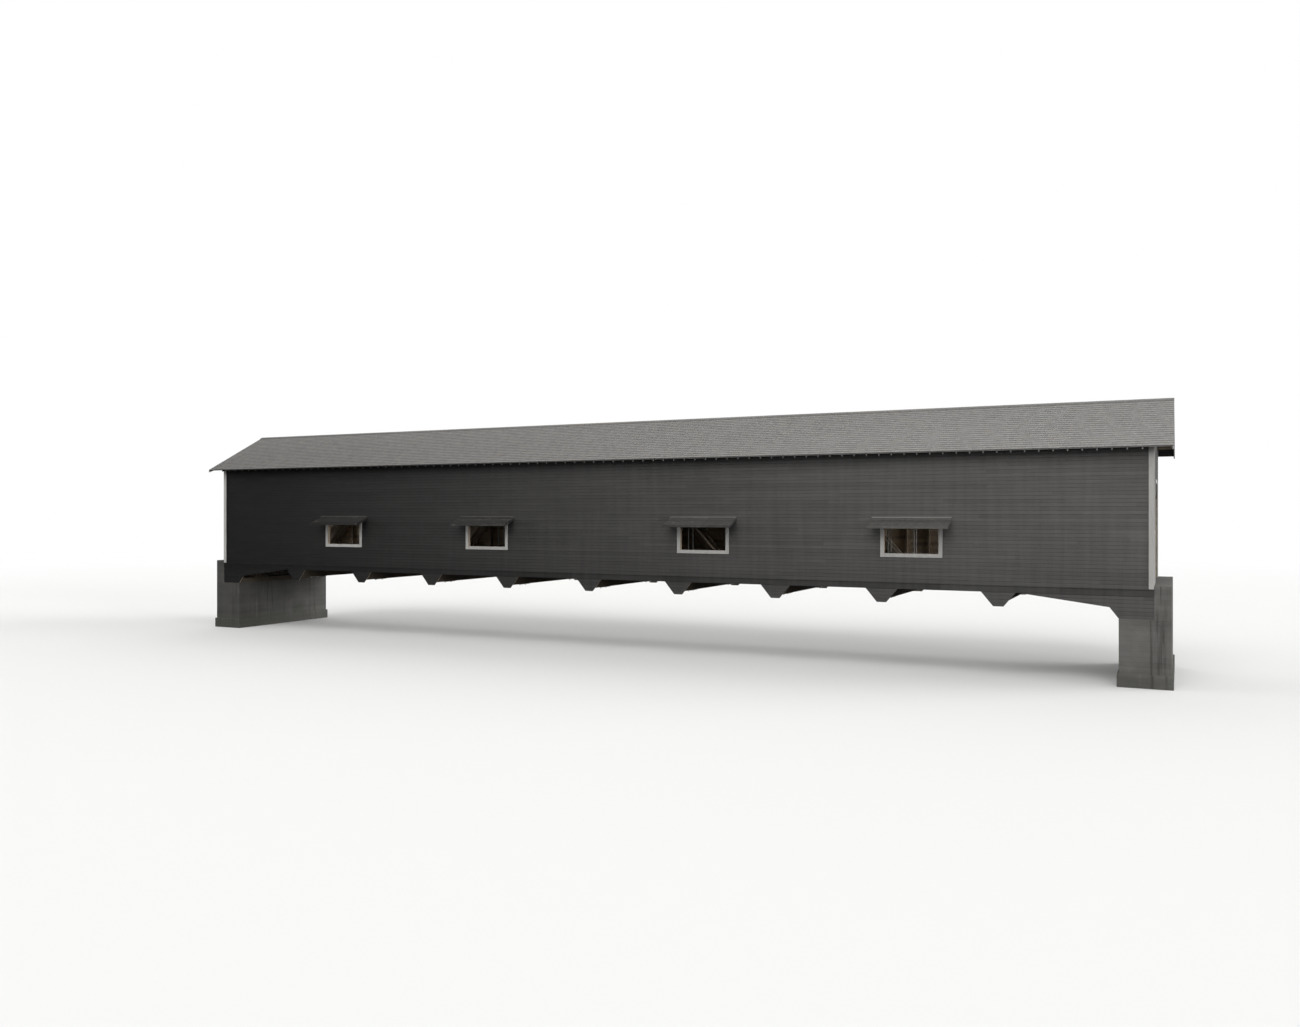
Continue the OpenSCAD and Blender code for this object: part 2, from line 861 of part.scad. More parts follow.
// Cap boards along the ridge, one on each slope
module ridge_cap() {
    y0 = -butt_gap / 2;
    y1 = -cap_w * cos(tilt);
    v = slope_gap + cap_t / cos(tilt);
    color("silver") both_sides() along_x(-roof_half, roof_half) polygon([
        [y0, roof_top(-y0) + slope_gap], [y0, roof_top(-y0) + v],
        [y1, roof_top(-y1) + v], [y1, roof_top(-y1) + slope_gap]
    ]);
}

// Boards under the roof edge at each end, butting under the ridge
module rake_boards() {
    y0 = butt_gap / 2;
    color("white") both_ends() both_sides() along_x(-roof_half, -roof_half + rafter_w) polygon([
        [-y0, roof_seat(y0)], [-eave_y, roof_seat(eave_y)], [-eave_y, roof_low(eave_y) - tail_v],
        [-half_w, siding_top], [-y0, rafter_low(y0)]
    ]);
}

// Outline of the road opening, grown by m on all sides but the foot
function road_outline(m) = let (c = road_cut - m * tan(22.5)) [
    [road_open0 - m, deck_z], [road_open0 - m, road_top - c], [road_open0 + c, road_top + m],
    [road_open1 - c, road_top + m], [road_open1 + m, road_top - c], [road_open1 + m, deck_z]
];

// Outline of the walkway opening, grown by m over it and beside the truss
module walk_outline(m) {
    translate([walk_open0, deck_z]) square([walk_open1 - walk_open0 + m, walk_h + m]);
}

// Gable walls with the road opening and the walkway opening
module portals() {
    color("dimgray") both_ends() along_x(-wall_half, -skin_half) difference() {
        polygon([
            [-inner_y, deck_z], [inner_y, deck_z], [inner_y, roof_seat(inner_y)],
            [0, roof_seat(0)], [-inner_y, roof_seat(inner_y)]
        ]);
        polygon(road_outline(0));
        walk_outline(0);
    }
}

// Posts behind each end wall and studs over its header beam
module portal_posts() {
    color("burlywood") both_ends() {
        for (y = [-inner_y, post_y]) box(-skin_half, -frame_half, y, y + post_d, deck_z, plate_low);
        for (y = [walk_open1, road_open0 - post_d, road_open1])
            box(-skin_half, -frame_half, y, y + post_d, deck_z, head_z);
        for (s = [-1, 1]) along_x(-skin_half, -frame_half) polygon([
            [s * stud_step, head_z + head_h], [s * (stud_step + post_d), head_z + head_h],
            [s * (stud_step + post_d), roof_seat(stud_step + post_d)],
            [s * stud_step, roof_seat(stud_step)]
        ]);
        box(-skin_half, -frame_half, -post_d / 2, post_d / 2, head_z + head_h, ridge_low - slope_gap);
    }
}

module portal_headers() {
    color("burlywood") both_ends() box(-skin_half, -frame_half, -post_y, post_y, head_z, head_z + head_h);
}

module portal_trim() {
    color("white") both_ends() along_x(-wall_half - trim_t, -wall_half) difference() {
        union() {
            polygon(road_outline(trim_w));
            walk_outline(walk_trim_w);
        }
        polygon(road_outline(0));
        walk_outline(0);
    }
}

abutments();
bearing_sills();
lower_bolsters();
upper_bolsters();
lower_chords();
upper_chords();
chord_keys();
main_braces();
counterbraces();
angle_blocks();
tie_rods();
washer_plates();
rod_nuts();
floor_beams();
stringers();
road_deck();
walkway_deck();
wheel_guards();
lower_laterals();
tie_beams();
upper_laterals();
upper_siding();
window_siding();
lower_siding();
beam_covers();
skirt_boards();
corner_boards();
window_trim();
window_hoods();
hood_brackets();
hood_trim();
wall_posts();
wall_plates();
window_headers();
rafters();
collar_ties();
ridge_board();
near_roof();
far_roof();
ridge_cap();
rake_boards();
portals();
portal_posts();
portal_headers();
portal_trim();
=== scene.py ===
"""Boards, shakes, timbers and finishes for a half-size covered bridge, laid over its frame."""
import json
import math
import random

import bmesh
import bpy
from mathutils import Matrix, Vector


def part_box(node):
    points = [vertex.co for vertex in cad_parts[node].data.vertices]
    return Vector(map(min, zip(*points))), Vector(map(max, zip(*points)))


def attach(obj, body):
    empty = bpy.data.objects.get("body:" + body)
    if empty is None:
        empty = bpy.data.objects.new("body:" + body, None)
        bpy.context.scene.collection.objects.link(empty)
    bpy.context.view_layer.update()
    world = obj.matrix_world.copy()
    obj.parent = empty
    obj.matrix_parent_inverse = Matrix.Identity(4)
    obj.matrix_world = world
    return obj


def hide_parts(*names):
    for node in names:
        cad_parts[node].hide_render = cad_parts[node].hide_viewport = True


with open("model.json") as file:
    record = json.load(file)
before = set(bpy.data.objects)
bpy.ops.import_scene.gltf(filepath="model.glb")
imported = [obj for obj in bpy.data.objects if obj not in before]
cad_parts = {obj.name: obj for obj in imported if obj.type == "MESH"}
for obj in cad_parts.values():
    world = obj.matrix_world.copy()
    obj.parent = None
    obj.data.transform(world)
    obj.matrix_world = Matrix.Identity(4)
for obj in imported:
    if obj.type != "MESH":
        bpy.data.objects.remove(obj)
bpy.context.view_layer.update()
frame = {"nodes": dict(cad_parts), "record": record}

bl_info = {
    "name": "Covered Bridge",
    "version": (1, 0, 0),
    "blender": (4, 5, 0),
    "location": "View3D > Sidebar > Bridge",
    "description": "Lays the boards, shakes, timbers and finishes of a covered bridge",
    "category": "Object",
}

AXES = [Vector((1, 0, 0)), Vector((0, 1, 0)), Vector((0, 0, 1))]
X, Y, Z = AXES
SLOTS = {s["node"]: s["material_slot"] for s in frame["record"]["subparts"]}

# Distance between the wall posts, where the siding is nailed, height of the nails up a board,
# and depth from which a board is bare, in metres.
POST_STEP, NAIL_UP, BARE_DEEP = 0.61, 0.024, 0.0075

# Height over which the siding grows paler from its foot, in metres, and its level at the foot.
FOOT_HIGH, FOOT_LEVEL = 1.4, 0.8

# Height of the pale strip over each hood, and of the boards that the concrete was cast in, in
# metres.
HOOD_STRIP, FORM_BOARD = 0.036, 0.115

# How far the edges of trim are eased, and how far laid boards stay below the top of their slab,
# in metres.
TRIM_EDGE, BELOW_TOP = 0.002, 0.0005

# No shake, roof board or plank starts nearer than this to where the last one ends, in metres.
LEFT_OVER = 0.02

# The shortest siding board, first length of a timber, later length and last length, as shares
# of the longest.
SHORT_BOARD, SHORT_FIRST, SHORT_NEXT, SHORT_LAST = 0.72, 0.45, 0.8, 0.2

# The cove of a siding board bends where it has come down this share of its height, and there it
# has this share of its depth.
COVE_BEND, COVE_DRAWN = 0.62, 0.68

# Painted shade and light on the near side, darker at the left end and paler at the right, turn
# to the level of the far side across the middle: half the length of each, in metres.
SHADE_ALONG, SHADE_ACROSS = 16.0, 2.0

# How near two places count as one: for points to merge, for cuts, and for heights, in metres.
MERGED, CUT, LEVEL = 1e-5, 1e-6, 1e-4

# Turn between two faces up to which they are one flat face, from which their edge is eased, and
# from which an edge of a round piece shows.
FLAT, EASED, SHARP = (math.radians(turn) for turn in (0.5, 25, 28))

# The weak sheen of old paint, split wood and concrete.
MATT = {"Specular IOR Level": 0.10}

# Timber nodes: how far their edges are eased, and the longest length of one timber, in metres.
TRUSS_TIMBERS = {
    "bearing_sills": (0.004, None), "lower_bolsters": (0.004, None),
    "upper_bolsters": (0.004, None), "lower_chords": (0.004, 5.5), "upper_chords": (0.004, 5.5),
    "chord_keys": (0.003, None), "main_braces": (0.004, None), "counterbraces": (0.004, None),
    "lower_laterals": (0.003, None), "upper_laterals": (0.003, None),
    "tie_beams": (0.003, None),
}
WALL_TIMBERS = {
    "wall_posts": (0.002, None), "wall_plates": (0.003, 3.7), "window_headers": (0.002, None),
    "portal_posts": (0.002, None), "portal_headers": (0.003, None),
}
ROOF_TIMBERS = {
    "rafters": (0.0015, None), "collar_ties": (0.0015, None), "ridge_board": (0.002, 3.7),
}
FLOOR_TIMBERS = {
    "floor_beams": (0.004, None), "stringers": (0.003, 3.7), "wheel_guards": (0.005, 3.05),
}


# Settings

def size(name, description, default):
    """A length that a user may change."""
    return bpy.props.FloatProperty(
        name=name, description=description, default=default, min=0.0, precision=4,
        unit="LENGTH")


def colour(name, description, default):
    """A colour that a user may change."""
    return bpy.props.FloatVectorProperty(
        name=name, description=description, default=default, size=3, min=0.0, max=1.0,
        subtype="COLOR")


class BridgeSizes(bpy.types.PropertyGroup):
    """Sizes of what is laid over the frame."""

    board_show: size("Siding exposure", "Height that each siding board shows", 0.086875)
    board_long: size("Siding length", "Longest siding board", 3.05)
    board_gap: size("Siding gap", "Gap between two siding boards", 0.0004)
    cove_high: size("Cove height", "Height of the cove along the top of a siding board", 0.018)
    cove_deep: size("Cove depth", "Depth of the cove along the top of a siding board", 0.0055)
    roof_thick: size("Roof thickness", "Thickness of the roof boards and the shakes", 0.030)
    shake_show: size("Shake exposure", "Length that each shake shows", 0.1187)
    shake_long: size("Shake length", "Length of a shake", 0.262)
    shake_thick: size("Shake thickness", "Thickness of a shake", 0.0055)
    shake_narrow: size("Narrowest shake", "Width of the narrowest shake", 0.058)
    shake_wide: size("Widest shake", "Width of the widest shake", 0.128)
    sheathing_thick: size("Roof board thickness", "Thickness of the roof boards", 0.0095)
    sheathing_wide: size("Roof board width", "Width of the roof boards", 0.092)
    hood_thick: size("Hood thickness", "Thickness of a window hood", 0.020)
    hood_board: size("Hood board thickness", "Thickness of one board of a hood", 0.008)
    trim_long: size("Trim length", "Longest skirt board", 2.95)
    plank_wide: size("Plank width", "Width of a deck plank", 0.149)
    plank_gap: size("Plank gap", "Gap between two deck planks", 0.004)


class BridgeColours(bpy.types.PropertyGroup):
    """Colours of the finishes."""

    siding: colour("Siding", "Paint of the siding", (0.035, 0.034, 0.033))
    trim: colour("Trim", "Paint of the corner boards and window boards", (0.37, 0.365, 0.35))
    hood: colour("Hoods", "Paint of the window hoods", (0.050, 0.0485, 0.046))
    shakes: colour("Shakes", "Weathered shakes", (0.213, 0.209, 0.201))
    timber: colour("Timber", "Bare timber", (0.44, 0.36, 0.27))
    planks: colour("Planks", "Worn deck planks", (0.27, 0.235, 0.19))
    concrete: colour("Concrete", "Concrete of the abutments", (0.085, 0.083, 0.078))
    iron: colour("Iron", "Cast iron of the angle blocks", (0.045, 0.043, 0.042))
    steel: colour("Steel", "Steel of the rods, plates and nuts", (0.42, 0.42, 0.41))
    floor: colour("Floor", "Studio floor", (0.80, 0.80, 0.79))


# Finishes

class Wire:
    """The value of a socket in a finish, which takes arithmetic."""

    def __init__(self, finish, socket):
        self.finish = finish
        self.socket = socket

    def math(self, operation, *values):
        """A Math node of some values."""
        return self.finish.node("ShaderNodeMath", dict(enumerate(values)), operation=operation)

    def __add__(self, other):
        return self.math("ADD", self, other)

    def __radd__(self, other):
        return self.math("ADD", other, self)

    def __sub__(self, other):
        return self.math("SUBTRACT", self, other)

    def __rsub__(self, other):
        return self.math("SUBTRACT", other, self)

    def __mul__(self, other):
        return self.math("MULTIPLY", self, other)

    def __rmul__(self, other):
        return self.math("MULTIPLY", other, self)

    def __truediv__(self, other):
        return self.math("DIVIDE", self, other)

    def __mod__(self, other):
        return self.math("FLOORED_MODULO", self, other)

    def __pow__(self, other):
        return self.math("POWER", self, other)

    def __abs__(self):
        return self.math("ABSOLUTE", self)

    def floor(self):
        return self.math("FLOOR", self)


class Finish:
    """The nodes of a material or of the world."""

    def __init__(self, owner):
        owner.use_nodes = True
        self.owner = owner
        self.tree = owner.node_tree
        self.tree.nodes.clear()

    def node(self, kind, values=None, output=0, **settings):
        """Adds a node: its settings first, then the values or links of its sockets."""
        made = self.tree.nodes.new(kind)
        for key, setting in settings.items():
            setattr(made, key, setting)
        for key, value in (values or {}).items():
            if isinstance(value, Wire):
                self.tree.links.new(value.socket, made.inputs[key])
            else:
                made.inputs[key].default_value = value
        return Wire(self, made.outputs[output]) if made.outputs else None

    def grain(self):
        """Place along, across and through each board or timber."""
        return self.node("ShaderNodeAttribute", output=1, attribute_name="grain")

    def tone(self):
        """A random number for each board or timber, even round nought."""
        return self.node("ShaderNodeAttribute", output=2, attribute_name="tone") - 0.5

    def own(self, grain, tone):
        """The grain moved by a board's own tone, so that no two boards are alike."""
        return self.node("ShaderNodeVectorMath", {0: grain, 1: tone * 37.0}, operation="ADD")

    def place(self):
        """Place on the whole bridge."""
        return self.node("ShaderNodeTexCoord", output=3)

    def split(self, vector):
        """The three numbers of a vector."""
        first = self.node("ShaderNodeSeparateXYZ", {0: vector})
        return [Wire(self, out) for out in first.socket.node.outputs]

    def stretch(self, vector, *by):
        """A vector scaled by a number along each axis."""
        return self.node("ShaderNodeVectorMath", {0: vector, 1: by}, operation="MULTIPLY")

    def shade(self, tint, by):
        """A colour made lighter or darker by a number."""
        return self.node("ShaderNodeVectorMath", {0: tint, "Scale": by}, operation="SCALE")

    def mix(self, factor, first, second):
        """One colour turning into another."""
        pair = [tint if isinstance(tint, Wire) else (*tint, 1) for tint in (first, second)]
        return self.node("ShaderNodeMix", {0: factor, 6: pair[0], 7: pair[1]}, output=2,
                         data_type="RGBA", clamp_factor=True)

    def noise(self, vector, detail=3.0, roughness=0.5, distortion=0.0):
        """Noise of about one metre, even round nought."""
        return self.node("ShaderNodeTexNoise", {
            "Vector": vector, "Scale": 1.0, "Detail": detail, "Roughness": roughness,
            "Distortion": distortion}) - 0.5

    def step(self, value, start, end, low=0.0, high=1.0):
        """A soft step from low to high as a value goes from start to end."""
        return self.node("ShaderNodeMapRange", {
            "Value": value, "From Min": start, "From Max": end, "To Min": low, "To Max": high},
            interpolation_type="SMOOTHSTEP")

    def relief(self, height, deep):
        """The normal over a height from nought to one, where one stands that deep in metres."""
        return self.node("ShaderNodeBump", {"Height": height, "Distance": deep})

    def surface(self, tint, roughness, normal, **more):
        """Closes a material with its shader."""
        shader = self.node("ShaderNodeBsdfPrincipled", {
            "Base Color": tint, "Roughness": roughness, "Normal": normal, **more})
        self.node("ShaderNodeOutputMaterial", {"Surface": shader})
        return self.owner


def painted_shade_along(finish, dark, pale, level):
    """Painted shade and light, darker to paler along the near side of the bridge, and one level
    on the far side.
    """
    along, across, _ = finish.split(finish.place())
    near = finish.step(across, SHADE_ACROSS, -SHADE_ACROSS)
    return (finish.step(along, -SHADE_ALONG, SHADE_ALONG, dark, pale) - level) * near + level


def painted_siding(finish, tints):
    """Old dark paint on drop siding, with painted highlights on the lips, painted shade in the
    coves, runs and nail heads.

    It carries painted shade and light along the bridge, grows paler up from its foot, and the
    faces indoors are bare.
    """
    sizes = bpy.context.scene.bridge_sizes
    along, up, deep = finish.split(finish.grain())
    place, tone = finish.place(), finish.tone()
    grain = finish.own(finish.grain(), tone)
    height = finish.split(place)[2]
    streak = finish.noise(finish.stretch(grain, 1.1, 11, 1), 4)
    fibre = finish.noise(finish.stretch(grain, 6, 260, 1), 2)
    runs = finish.noise(finish.stretch(place, 7, 7, 0.45), 4, 0.6)
    cloud = finish.noise(finish.stretch(place, 0.45, 0.45, 0.7), 3)
    # Painted highlight along the lip of each board, and painted shade in the cove under the lip
    # above.
    lip = finish.step(up, 0.0045, 0.0)
    cove = finish.step(up, sizes.board_show - sizes.cove_high - 0.001, sizes.board_show - 0.004)
    off = abs((along + POST_STEP / 2) % POST_STEP - POST_STEP / 2)
    from_nail = (off ** 2.0 + (up - NAIL_UP) ** 2.0) ** 0.5
    nail = finish.step(from_nail, 0.0034, 0.0022)
    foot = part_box("lower_siding")[0].z
    # Painted shade and light along the bridge, times a level that grows paler up from the foot
    # of the wall.
    painted_shade_and_foot = (painted_shade_along(finish, 0.09, 2.9, 1.8)
             * finish.step(height, foot, foot + FOOT_HIGH, FOOT_LEVEL, 1.0))
    level = (1 + tone * 0.17 + streak * 0.30 + fibre * 0.26 + runs * 0.38 + cloud * 0.30
             + lip * 0.30 - cove * 0.34 - nail * 0.4) * painted_shade_and_foot
    dust = finish.step(runs, 0.16, 0.34) * 0.2
    tint = finish.mix(dust * painted_shade_and_foot, finish.shade(tints.siding, level), (0.10, 0.098, 0.093))
    bare = finish.shade(tints.timber, 1.1 + tone * 0.4 + streak * 0.7 + fibre * 0.5)
    inside = finish.step(deep, BARE_DEEP - 0.0003, BARE_DEEP + 0.0003)
    tint = finish.mix(inside, tint, bare)
    normal = finish.relief(fibre * 0.5 + streak * 0.4 - nail * 0.8, 0.0012)
    return finish.surface(tint, 0.70 + streak * 0.3 - nail * 0.1 + dust * 0.2, normal, **MATT)


def white_paint(finish, tints):
    """Pale paint on planed boards, with fine cracks, grime and weather runs."""
    grain, place, tone = finish.grain(), finish.place(), finish.tone()
    fibre = finish.noise(finish.stretch(grain, 5, 190, 190), 2)
    grime = finish.noise(finish.stretch(place, 6, 6, 1.1), 5, 0.65)
    crack = finish.step(finish.noise(finish.stretch(grain, 4, 85, 85), 2, 0.4), 0.15, 0.22)
    level = 1 + tone * 0.12 + fibre * 0.10 + grime * 0.42
    tint = finish.mix(crack * 0.45, finish.shade(tints.trim, level), (0.16, 0.145, 0.12))
    normal = finish.relief(fibre * 0.4 - crack * 0.6, 0.001)
    return finish.surface(tint, 0.60 + grime * 0.5, normal, **MATT)


def hood_paint(finish, tints):
    """Paint on the hoods, paler on the strip along the wall, with painted shade and light along
    the bridge.
    """
    grain, place, tone = finish.grain(), finish.place(), finish.tone()
    height = finish.split(place)[2]
    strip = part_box("hood_trim")[1].z - HOOD_STRIP
    streak = finish.noise(finish.stretch(grain, 1.5, 14, 14), 4)
    fibre = finish.noise(finish.stretch(grain, 6, 210, 210), 2)
    spots = finish.noise(finish.stretch(place, 9, 9, 9), 4, 0.6)
    worn = finish.step(spots + streak * 0.6, 0.10, 0.26)
    level = (1 + tone * 0.5 + streak * 0.7 + fibre * 0.3 + spots * 0.7
             + finish.step(height, strip - 0.001, strip + 0.001))
    # The hood paint carries painted shade and light along the bridge.
    painted = finish.shade(tints.hood, level * painted_shade_along(finish, 0.25, 1.75, 1))
    tint = finish.mix(worn * 0.4, painted, (0.16, 0.155, 0.14))
    normal = finish.relief(fibre * 0.5 - worn * 0.3, 0.0012)
    return finish.surface(tint, 0.70 + streak * 0.3, normal, **MATT)


def weathered_shakes(finish, tints):
    """Silver-grey split shakes, with dark splits, dull patches, and painted shade at the butts
    and under the course above.
    """
    grain, place, tone = finish.grain(), finish.place(), finish.tone()
    along = finish.split(grain)[0]
    fibre = finish.noise(finish.stretch(grain, 9, 230, 60), 3, 0.6)
    blotch = finish.noise(finish.stretch(grain, 5, 9, 9), 3)
    cloud = finish.noise(finish.stretch(place, 0.8, 1.1, 1.1), 5, 0.6)
    fleck = finish.noise(finish.stretch(place, 14, 14, 14), 4, 0.6)
    # Painted shadow along the butt of each shake, and painted shade over its upper part, under
    # the butts of the course above.
    butt = finish.step(along, 0.010, 0.002)
    upper = finish.step(along, 0.070, 0.122)
    level = (1 + tone * 0.17 + fibre * 0.45 + blotch * 0.14 + cloud * 0.12
             - butt * 0.55 - upper * 0.14)
    # The shakes carry painted shade and light along the bridge.
    tint = finish.shade(tints.shakes, level * painted_shade_along(finish, 0.72, 1.2, 1))
    warm = finish.step(tone + blotch * 0.7, 0.30, 0.55)
    tint = finish.mix(warm * 0.3, tint, (0.19, 0.16, 0.12))
    dull = finish.step(fleck + cloud * 0.7, 0.22, 0.36)
    tint = finish.mix(dull * 0.4, tint, (0.11, 0.112, 0.09))
    normal = finish.relief(fibre * 0.9 + blotch * 0.3 + dull * 0.4, 0.0022)
    return finish.surface(tint, 0.86 + blotch * 0.15, normal, **MATT)


def sawn_timber(finish, tint, dark, grey):
    """Colour, height and fibre of bare sawn timber, whose figure follows each timber."""
    grain, place, tone = finish.grain(), finish.place(), finish.tone()
    along = finish.split(grain)[0]
    figure = finish.noise(finish.stretch(grain, 0.55, 17, 17), 3, 0.5, 0.6)
    rings = abs((figure * 9) % 1.0 - 0.5)
    fibre = finish.noise(finish.stretch(grain, 3.2, 170, 170), 3, 0.6)
    check = finish.step(finish.noise(finish.stretch(grain, 0.9, 46, 46), 3, 0.45), 0.15, 0.19)
    saw = finish.node("ShaderNodeMath", {0: along * 900.0 + figure * 8}, operation="SINE")
    weather = finish.noise(finish.stretch(place, 1.3, 1.3, 2.2), 4, 0.6)
    level = 1 + tone * 0.5 + fibre * 0.5 + weather * 0.45
    shade = finish.mix(rings * 1.1, finish.shade(tint, level), finish.shade(dark, level))
    shade = finish.mix(finish.step(weather + tone * 0.3, -0.12, 0.28) * 0.55, shade, grey)
    shade = finish.mix(check * 0.75, shade, (0.035, 0.028, 0.022))
    height = fibre * 0.5 + rings * 0.25 - check + saw * 0.06
    return shade, height, fibre


def bare_timber(finish, tints):
    """Sawn fir, bare indoors, with painted shade under the floor.

    Outside the walls it is painted, with painted shade and light along the bridge, and the
    paint is worn off the tips of the rafter tails.
    """
    dark = [c * 0.52 for c in tints.timber]
    shade, height, fibre = sawn_timber(finish, tints.timber, dark, (0.19, 0.172, 0.15))
    _, across, up = finish.split(finish.place())
    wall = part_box("upper_siding")[1].y
    outside = finish.step(abs(across), wall + 0.001, wall + 0.006)
    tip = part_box("rafters")[1].y
    worn = finish.step(abs(across), tip - 0.006, tip - 0.001, 1.0, 4.0)
    # The paint outside the walls carries painted shade and light along the bridge.
    paint = finish.shade(tints.siding, (1 + fibre) * worn * painted_shade_along(finish, 0.30, 1.6, 1))
    shade = finish.mix(outside, shade, paint)
    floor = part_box("road_deck")[0].z
    # Painted shade under the floor: below the deck the timber darkens to a fifth.
    shade = finish.shade(shade, finish.step(up, floor - 0.30, floor + 0.02, 0.2, 1.0))
    return finish.surface(shade, 0.80 + fibre * 0.2, finish.relief(height, 0.0016), **MATT)


def worn_planks(finish, tints):
    """Deck planks, dusty between the wheel tracks and polished and splintered in them."""
    dark = [c * 0.55 for c in tints.planks]
    shade, height, fibre = sawn_timber(finish, tints.planks, dark, (0.16, 0.15, 0.135))
    place = finish.place()
    across = finish.split(place)[1]
    road = [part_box("road_deck")[i].y for i in (0, 1)]
    patch = finish.noise(finish.stretch(place, 1.6, 5, 5), 4, 0.6)
    off = abs(abs(across - sum(road) / 2) - 0.45) + patch * 0.12
    track = finish.step(off, 0.26, 0.10)
    grit = finish.noise(finish.stretch(place, 55, 55, 55), 3, 0.7)
    dust = finish.step(patch + grit * 0.4, -0.02, 0.24) * (1 - track)
    shade = finish.mix(track * 0.35, shade, (0.085, 0.078, 0.070))
    shade = finish.mix(dust * 0.55, shade, (0.26, 0.24, 0.205))
    normal = finish.relief(height + grit * 0.25, 0.002)
    return finish.surface(shade, 0.84 - track * 0.22 + fibre * 0.1, normal, **MATT)


def cast_concrete(finish, tints):
    """Board-marked concrete with lifts, air holes, dark and pale runs, and a damp foot.

    The left end carries painted shade and light, darkest on its near side; the right end is
    paler all over.
    """
    place = finish.place()
    along, across, height = finish.split(place)
    cloud = finish.noise(finish.stretch(place, 1.1, 1.1, 1.6), 5, 0.6)
    fine = finish.noise(finish.stretch(place, 38, 38, 38), 4, 0.65)
    form = height / FORM_BOARD
    lift = finish.node(
        "ShaderNodeTexWhiteNoise", {"W": form.floor()}, noise_dimensions="1D") - 0.5
    line = finish.step(abs(form % 1.0 - 0.5), 0.485, 0.497)
    board = finish.noise(finish.stretch(place, 2.5, 2.5, 90), 3)
    runs = finish.noise(finish.stretch(place, 8, 8, 0.35), 5, 0.6)
    holes = finish.node("ShaderNodeTexVoronoi", {"Vector": place, "Scale": 26.0})
    hole = finish.step(holes + fine * 0.1, 0.13, 0.07)
    run = finish.step(runs, 0.03, 0.24)
    pale = finish.step(runs, -0.10, -0.26)
    damp = finish.step(height + cloud * 0.6, 0.62, 0.10)
    level = (1 + cloud * 0.9 + fine * 0.22 + lift * 0.16 + board * 0.14 - line * 0.25
             - hole * 0.45)
    # Painted shade and light on the left end, darkest on its near side and lighter to its far
    # side; the right end is paler concrete all over.
    left = finish.step(across, -2.2, 2.2, 0.7, 1.4)
    painted_shade_and_pale_end = left + (1.5 - left) * finish.step(along, -SHADE_ALONG / 2, SHADE_ALONG / 2)
    tint = finish.shade(tints.concrete, level * painted_shade_and_pale_end)
    tint = finish.mix(run * 0.7, tint, (0.028, 0.026, 0.023))
    tint = finish.mix(pale * 0.35, tint, (0.24, 0.235, 0.22))
    tint = finish.mix(damp * 0.45, tint, (0.06, 0.06, 0.05))
    normal = finish.relief(fine * 0.3 + board * 0.4 + lift * 0.2 - line * 0.5 - hole, 0.004)
    return finish.surface(tint, 0.88 + cloud * 0.1 - damp * 0.15, normal, **MATT)


def cast_iron(finish, tints):
    """Rough cast iron under old paint, rusted in patches."""
    place = finish.place()
    sand = finish.noise(finish.stretch(place, 210, 210, 210), 3, 0.6)
    patch = finish.noise(finish.stretch(place, 9, 9, 9), 5, 0.65)
    rust = finish.step(patch + sand * 0.25, 0.06, 0.20)
    tint = finish.mix(rust, finish.shade(tints.iron, 1 + patch * 0.5 + sand * 0.3),
                      finish.shade((0.13, 0.062, 0.032), 1 + sand * 0.9 + patch))
    normal = finish.relief(sand * 0.6 + rust * 0.4, 0.0016)
    return finish.surface(tint, 0.55 + rust * 0.3 + sand * 0.2, normal)


def bare_steel(finish, tints):
    """Grey steel with a dull sheen, rolled bands and a little rust."""
    place = finish.place()
    scale = finish.noise(finish.stretch(place, 60, 60, 5), 4, 0.6)
    patch = finish.noise(finish.stretch(place, 5, 5, 3), 5, 0.65)
    rust = finish.step(patch + scale * 0.5, 0.10, 0.26)
    tint = finish.mix(rust, finish.shade(tints.steel, 1 + scale * 0.7),
                      finish.shade((0.16, 0.075, 0.038), 1 + scale))
    normal = finish.relief(scale * 0.3 + rust * 0.5, 0.0008)
    return finish.surface(tint, 0.42 + rust * 0.4 + scale * 0.2, normal, Metallic=0.35)


FINISHES = {
    "siding": painted_siding, "white_trim": white_paint, "hood": hood_paint,
    "shakes": weathered_shakes, "timber": bare_timber, "planks": worn_planks,
    "concrete": cast_concrete, "iron": cast_iron, "steel": bare_steel,
}


def finish_for(slot):
    """The material of one of the record's slots, made the first time it is asked for."""
    made = bpy.data.materials.get("bridge_" + slot)
    if made is None:
        made = bpy.data.materials.new("bridge_" + slot)
        FINISHES[slot](Finish(made), bpy.context.scene.bridge_colours)
    return made


# Shapes

def blank():
    """An empty bmesh that can note the grain and tone of each board."""
    bm = bmesh.new()
    bm.verts.layers.float_vector.new("grain")
    bm.verts.layers.float.new("tone")
    return bm


def whole(node):
    """A closed bmesh of a CAD node, with each flat face in one piece."""
    bm, part = blank(), bmesh.new()
    part.from_mesh(frame["nodes"][node].data)
    bmesh.ops.remove_doubles(part, verts=part.verts, dist=MERGED)
    bmesh.ops.dissolve_limit(part, angle_limit=FLAT, verts=part.verts, edges=part.edges)
    add(bm, part)
    for face in bm.faces:
        face.smooth = False
    return bm


def add(bm, part):
    """Moves the shapes of one bmesh into another."""
    mesh = bpy.data.meshes.new("part")
    part.to_mesh(mesh)
    part.free()
    bm.from_mesh(mesh)
    bpy.data.meshes.remove(mesh)


def geometry(bm):
    """Every vertex, edge and face of a bmesh."""
    return bm.verts[:] + bm.edges[:] + bm.faces[:]


def solids(bm):
    """The separate solids of a bmesh, each as a list of its vertices, always in one order."""
    seen, found = set(), []
    for first in bm.verts:
        if first in seen:
            continue
        seen.add(first)
        group, edge = [], [first]
        while edge:
            vert = edge.pop()
            group.append(vert)
            for link in vert.link_edges:
                other = link.other_vert(vert)
                if other not in seen:
                    seen.add(other)
                    edge.append(other)
        found.append(group)
    return found


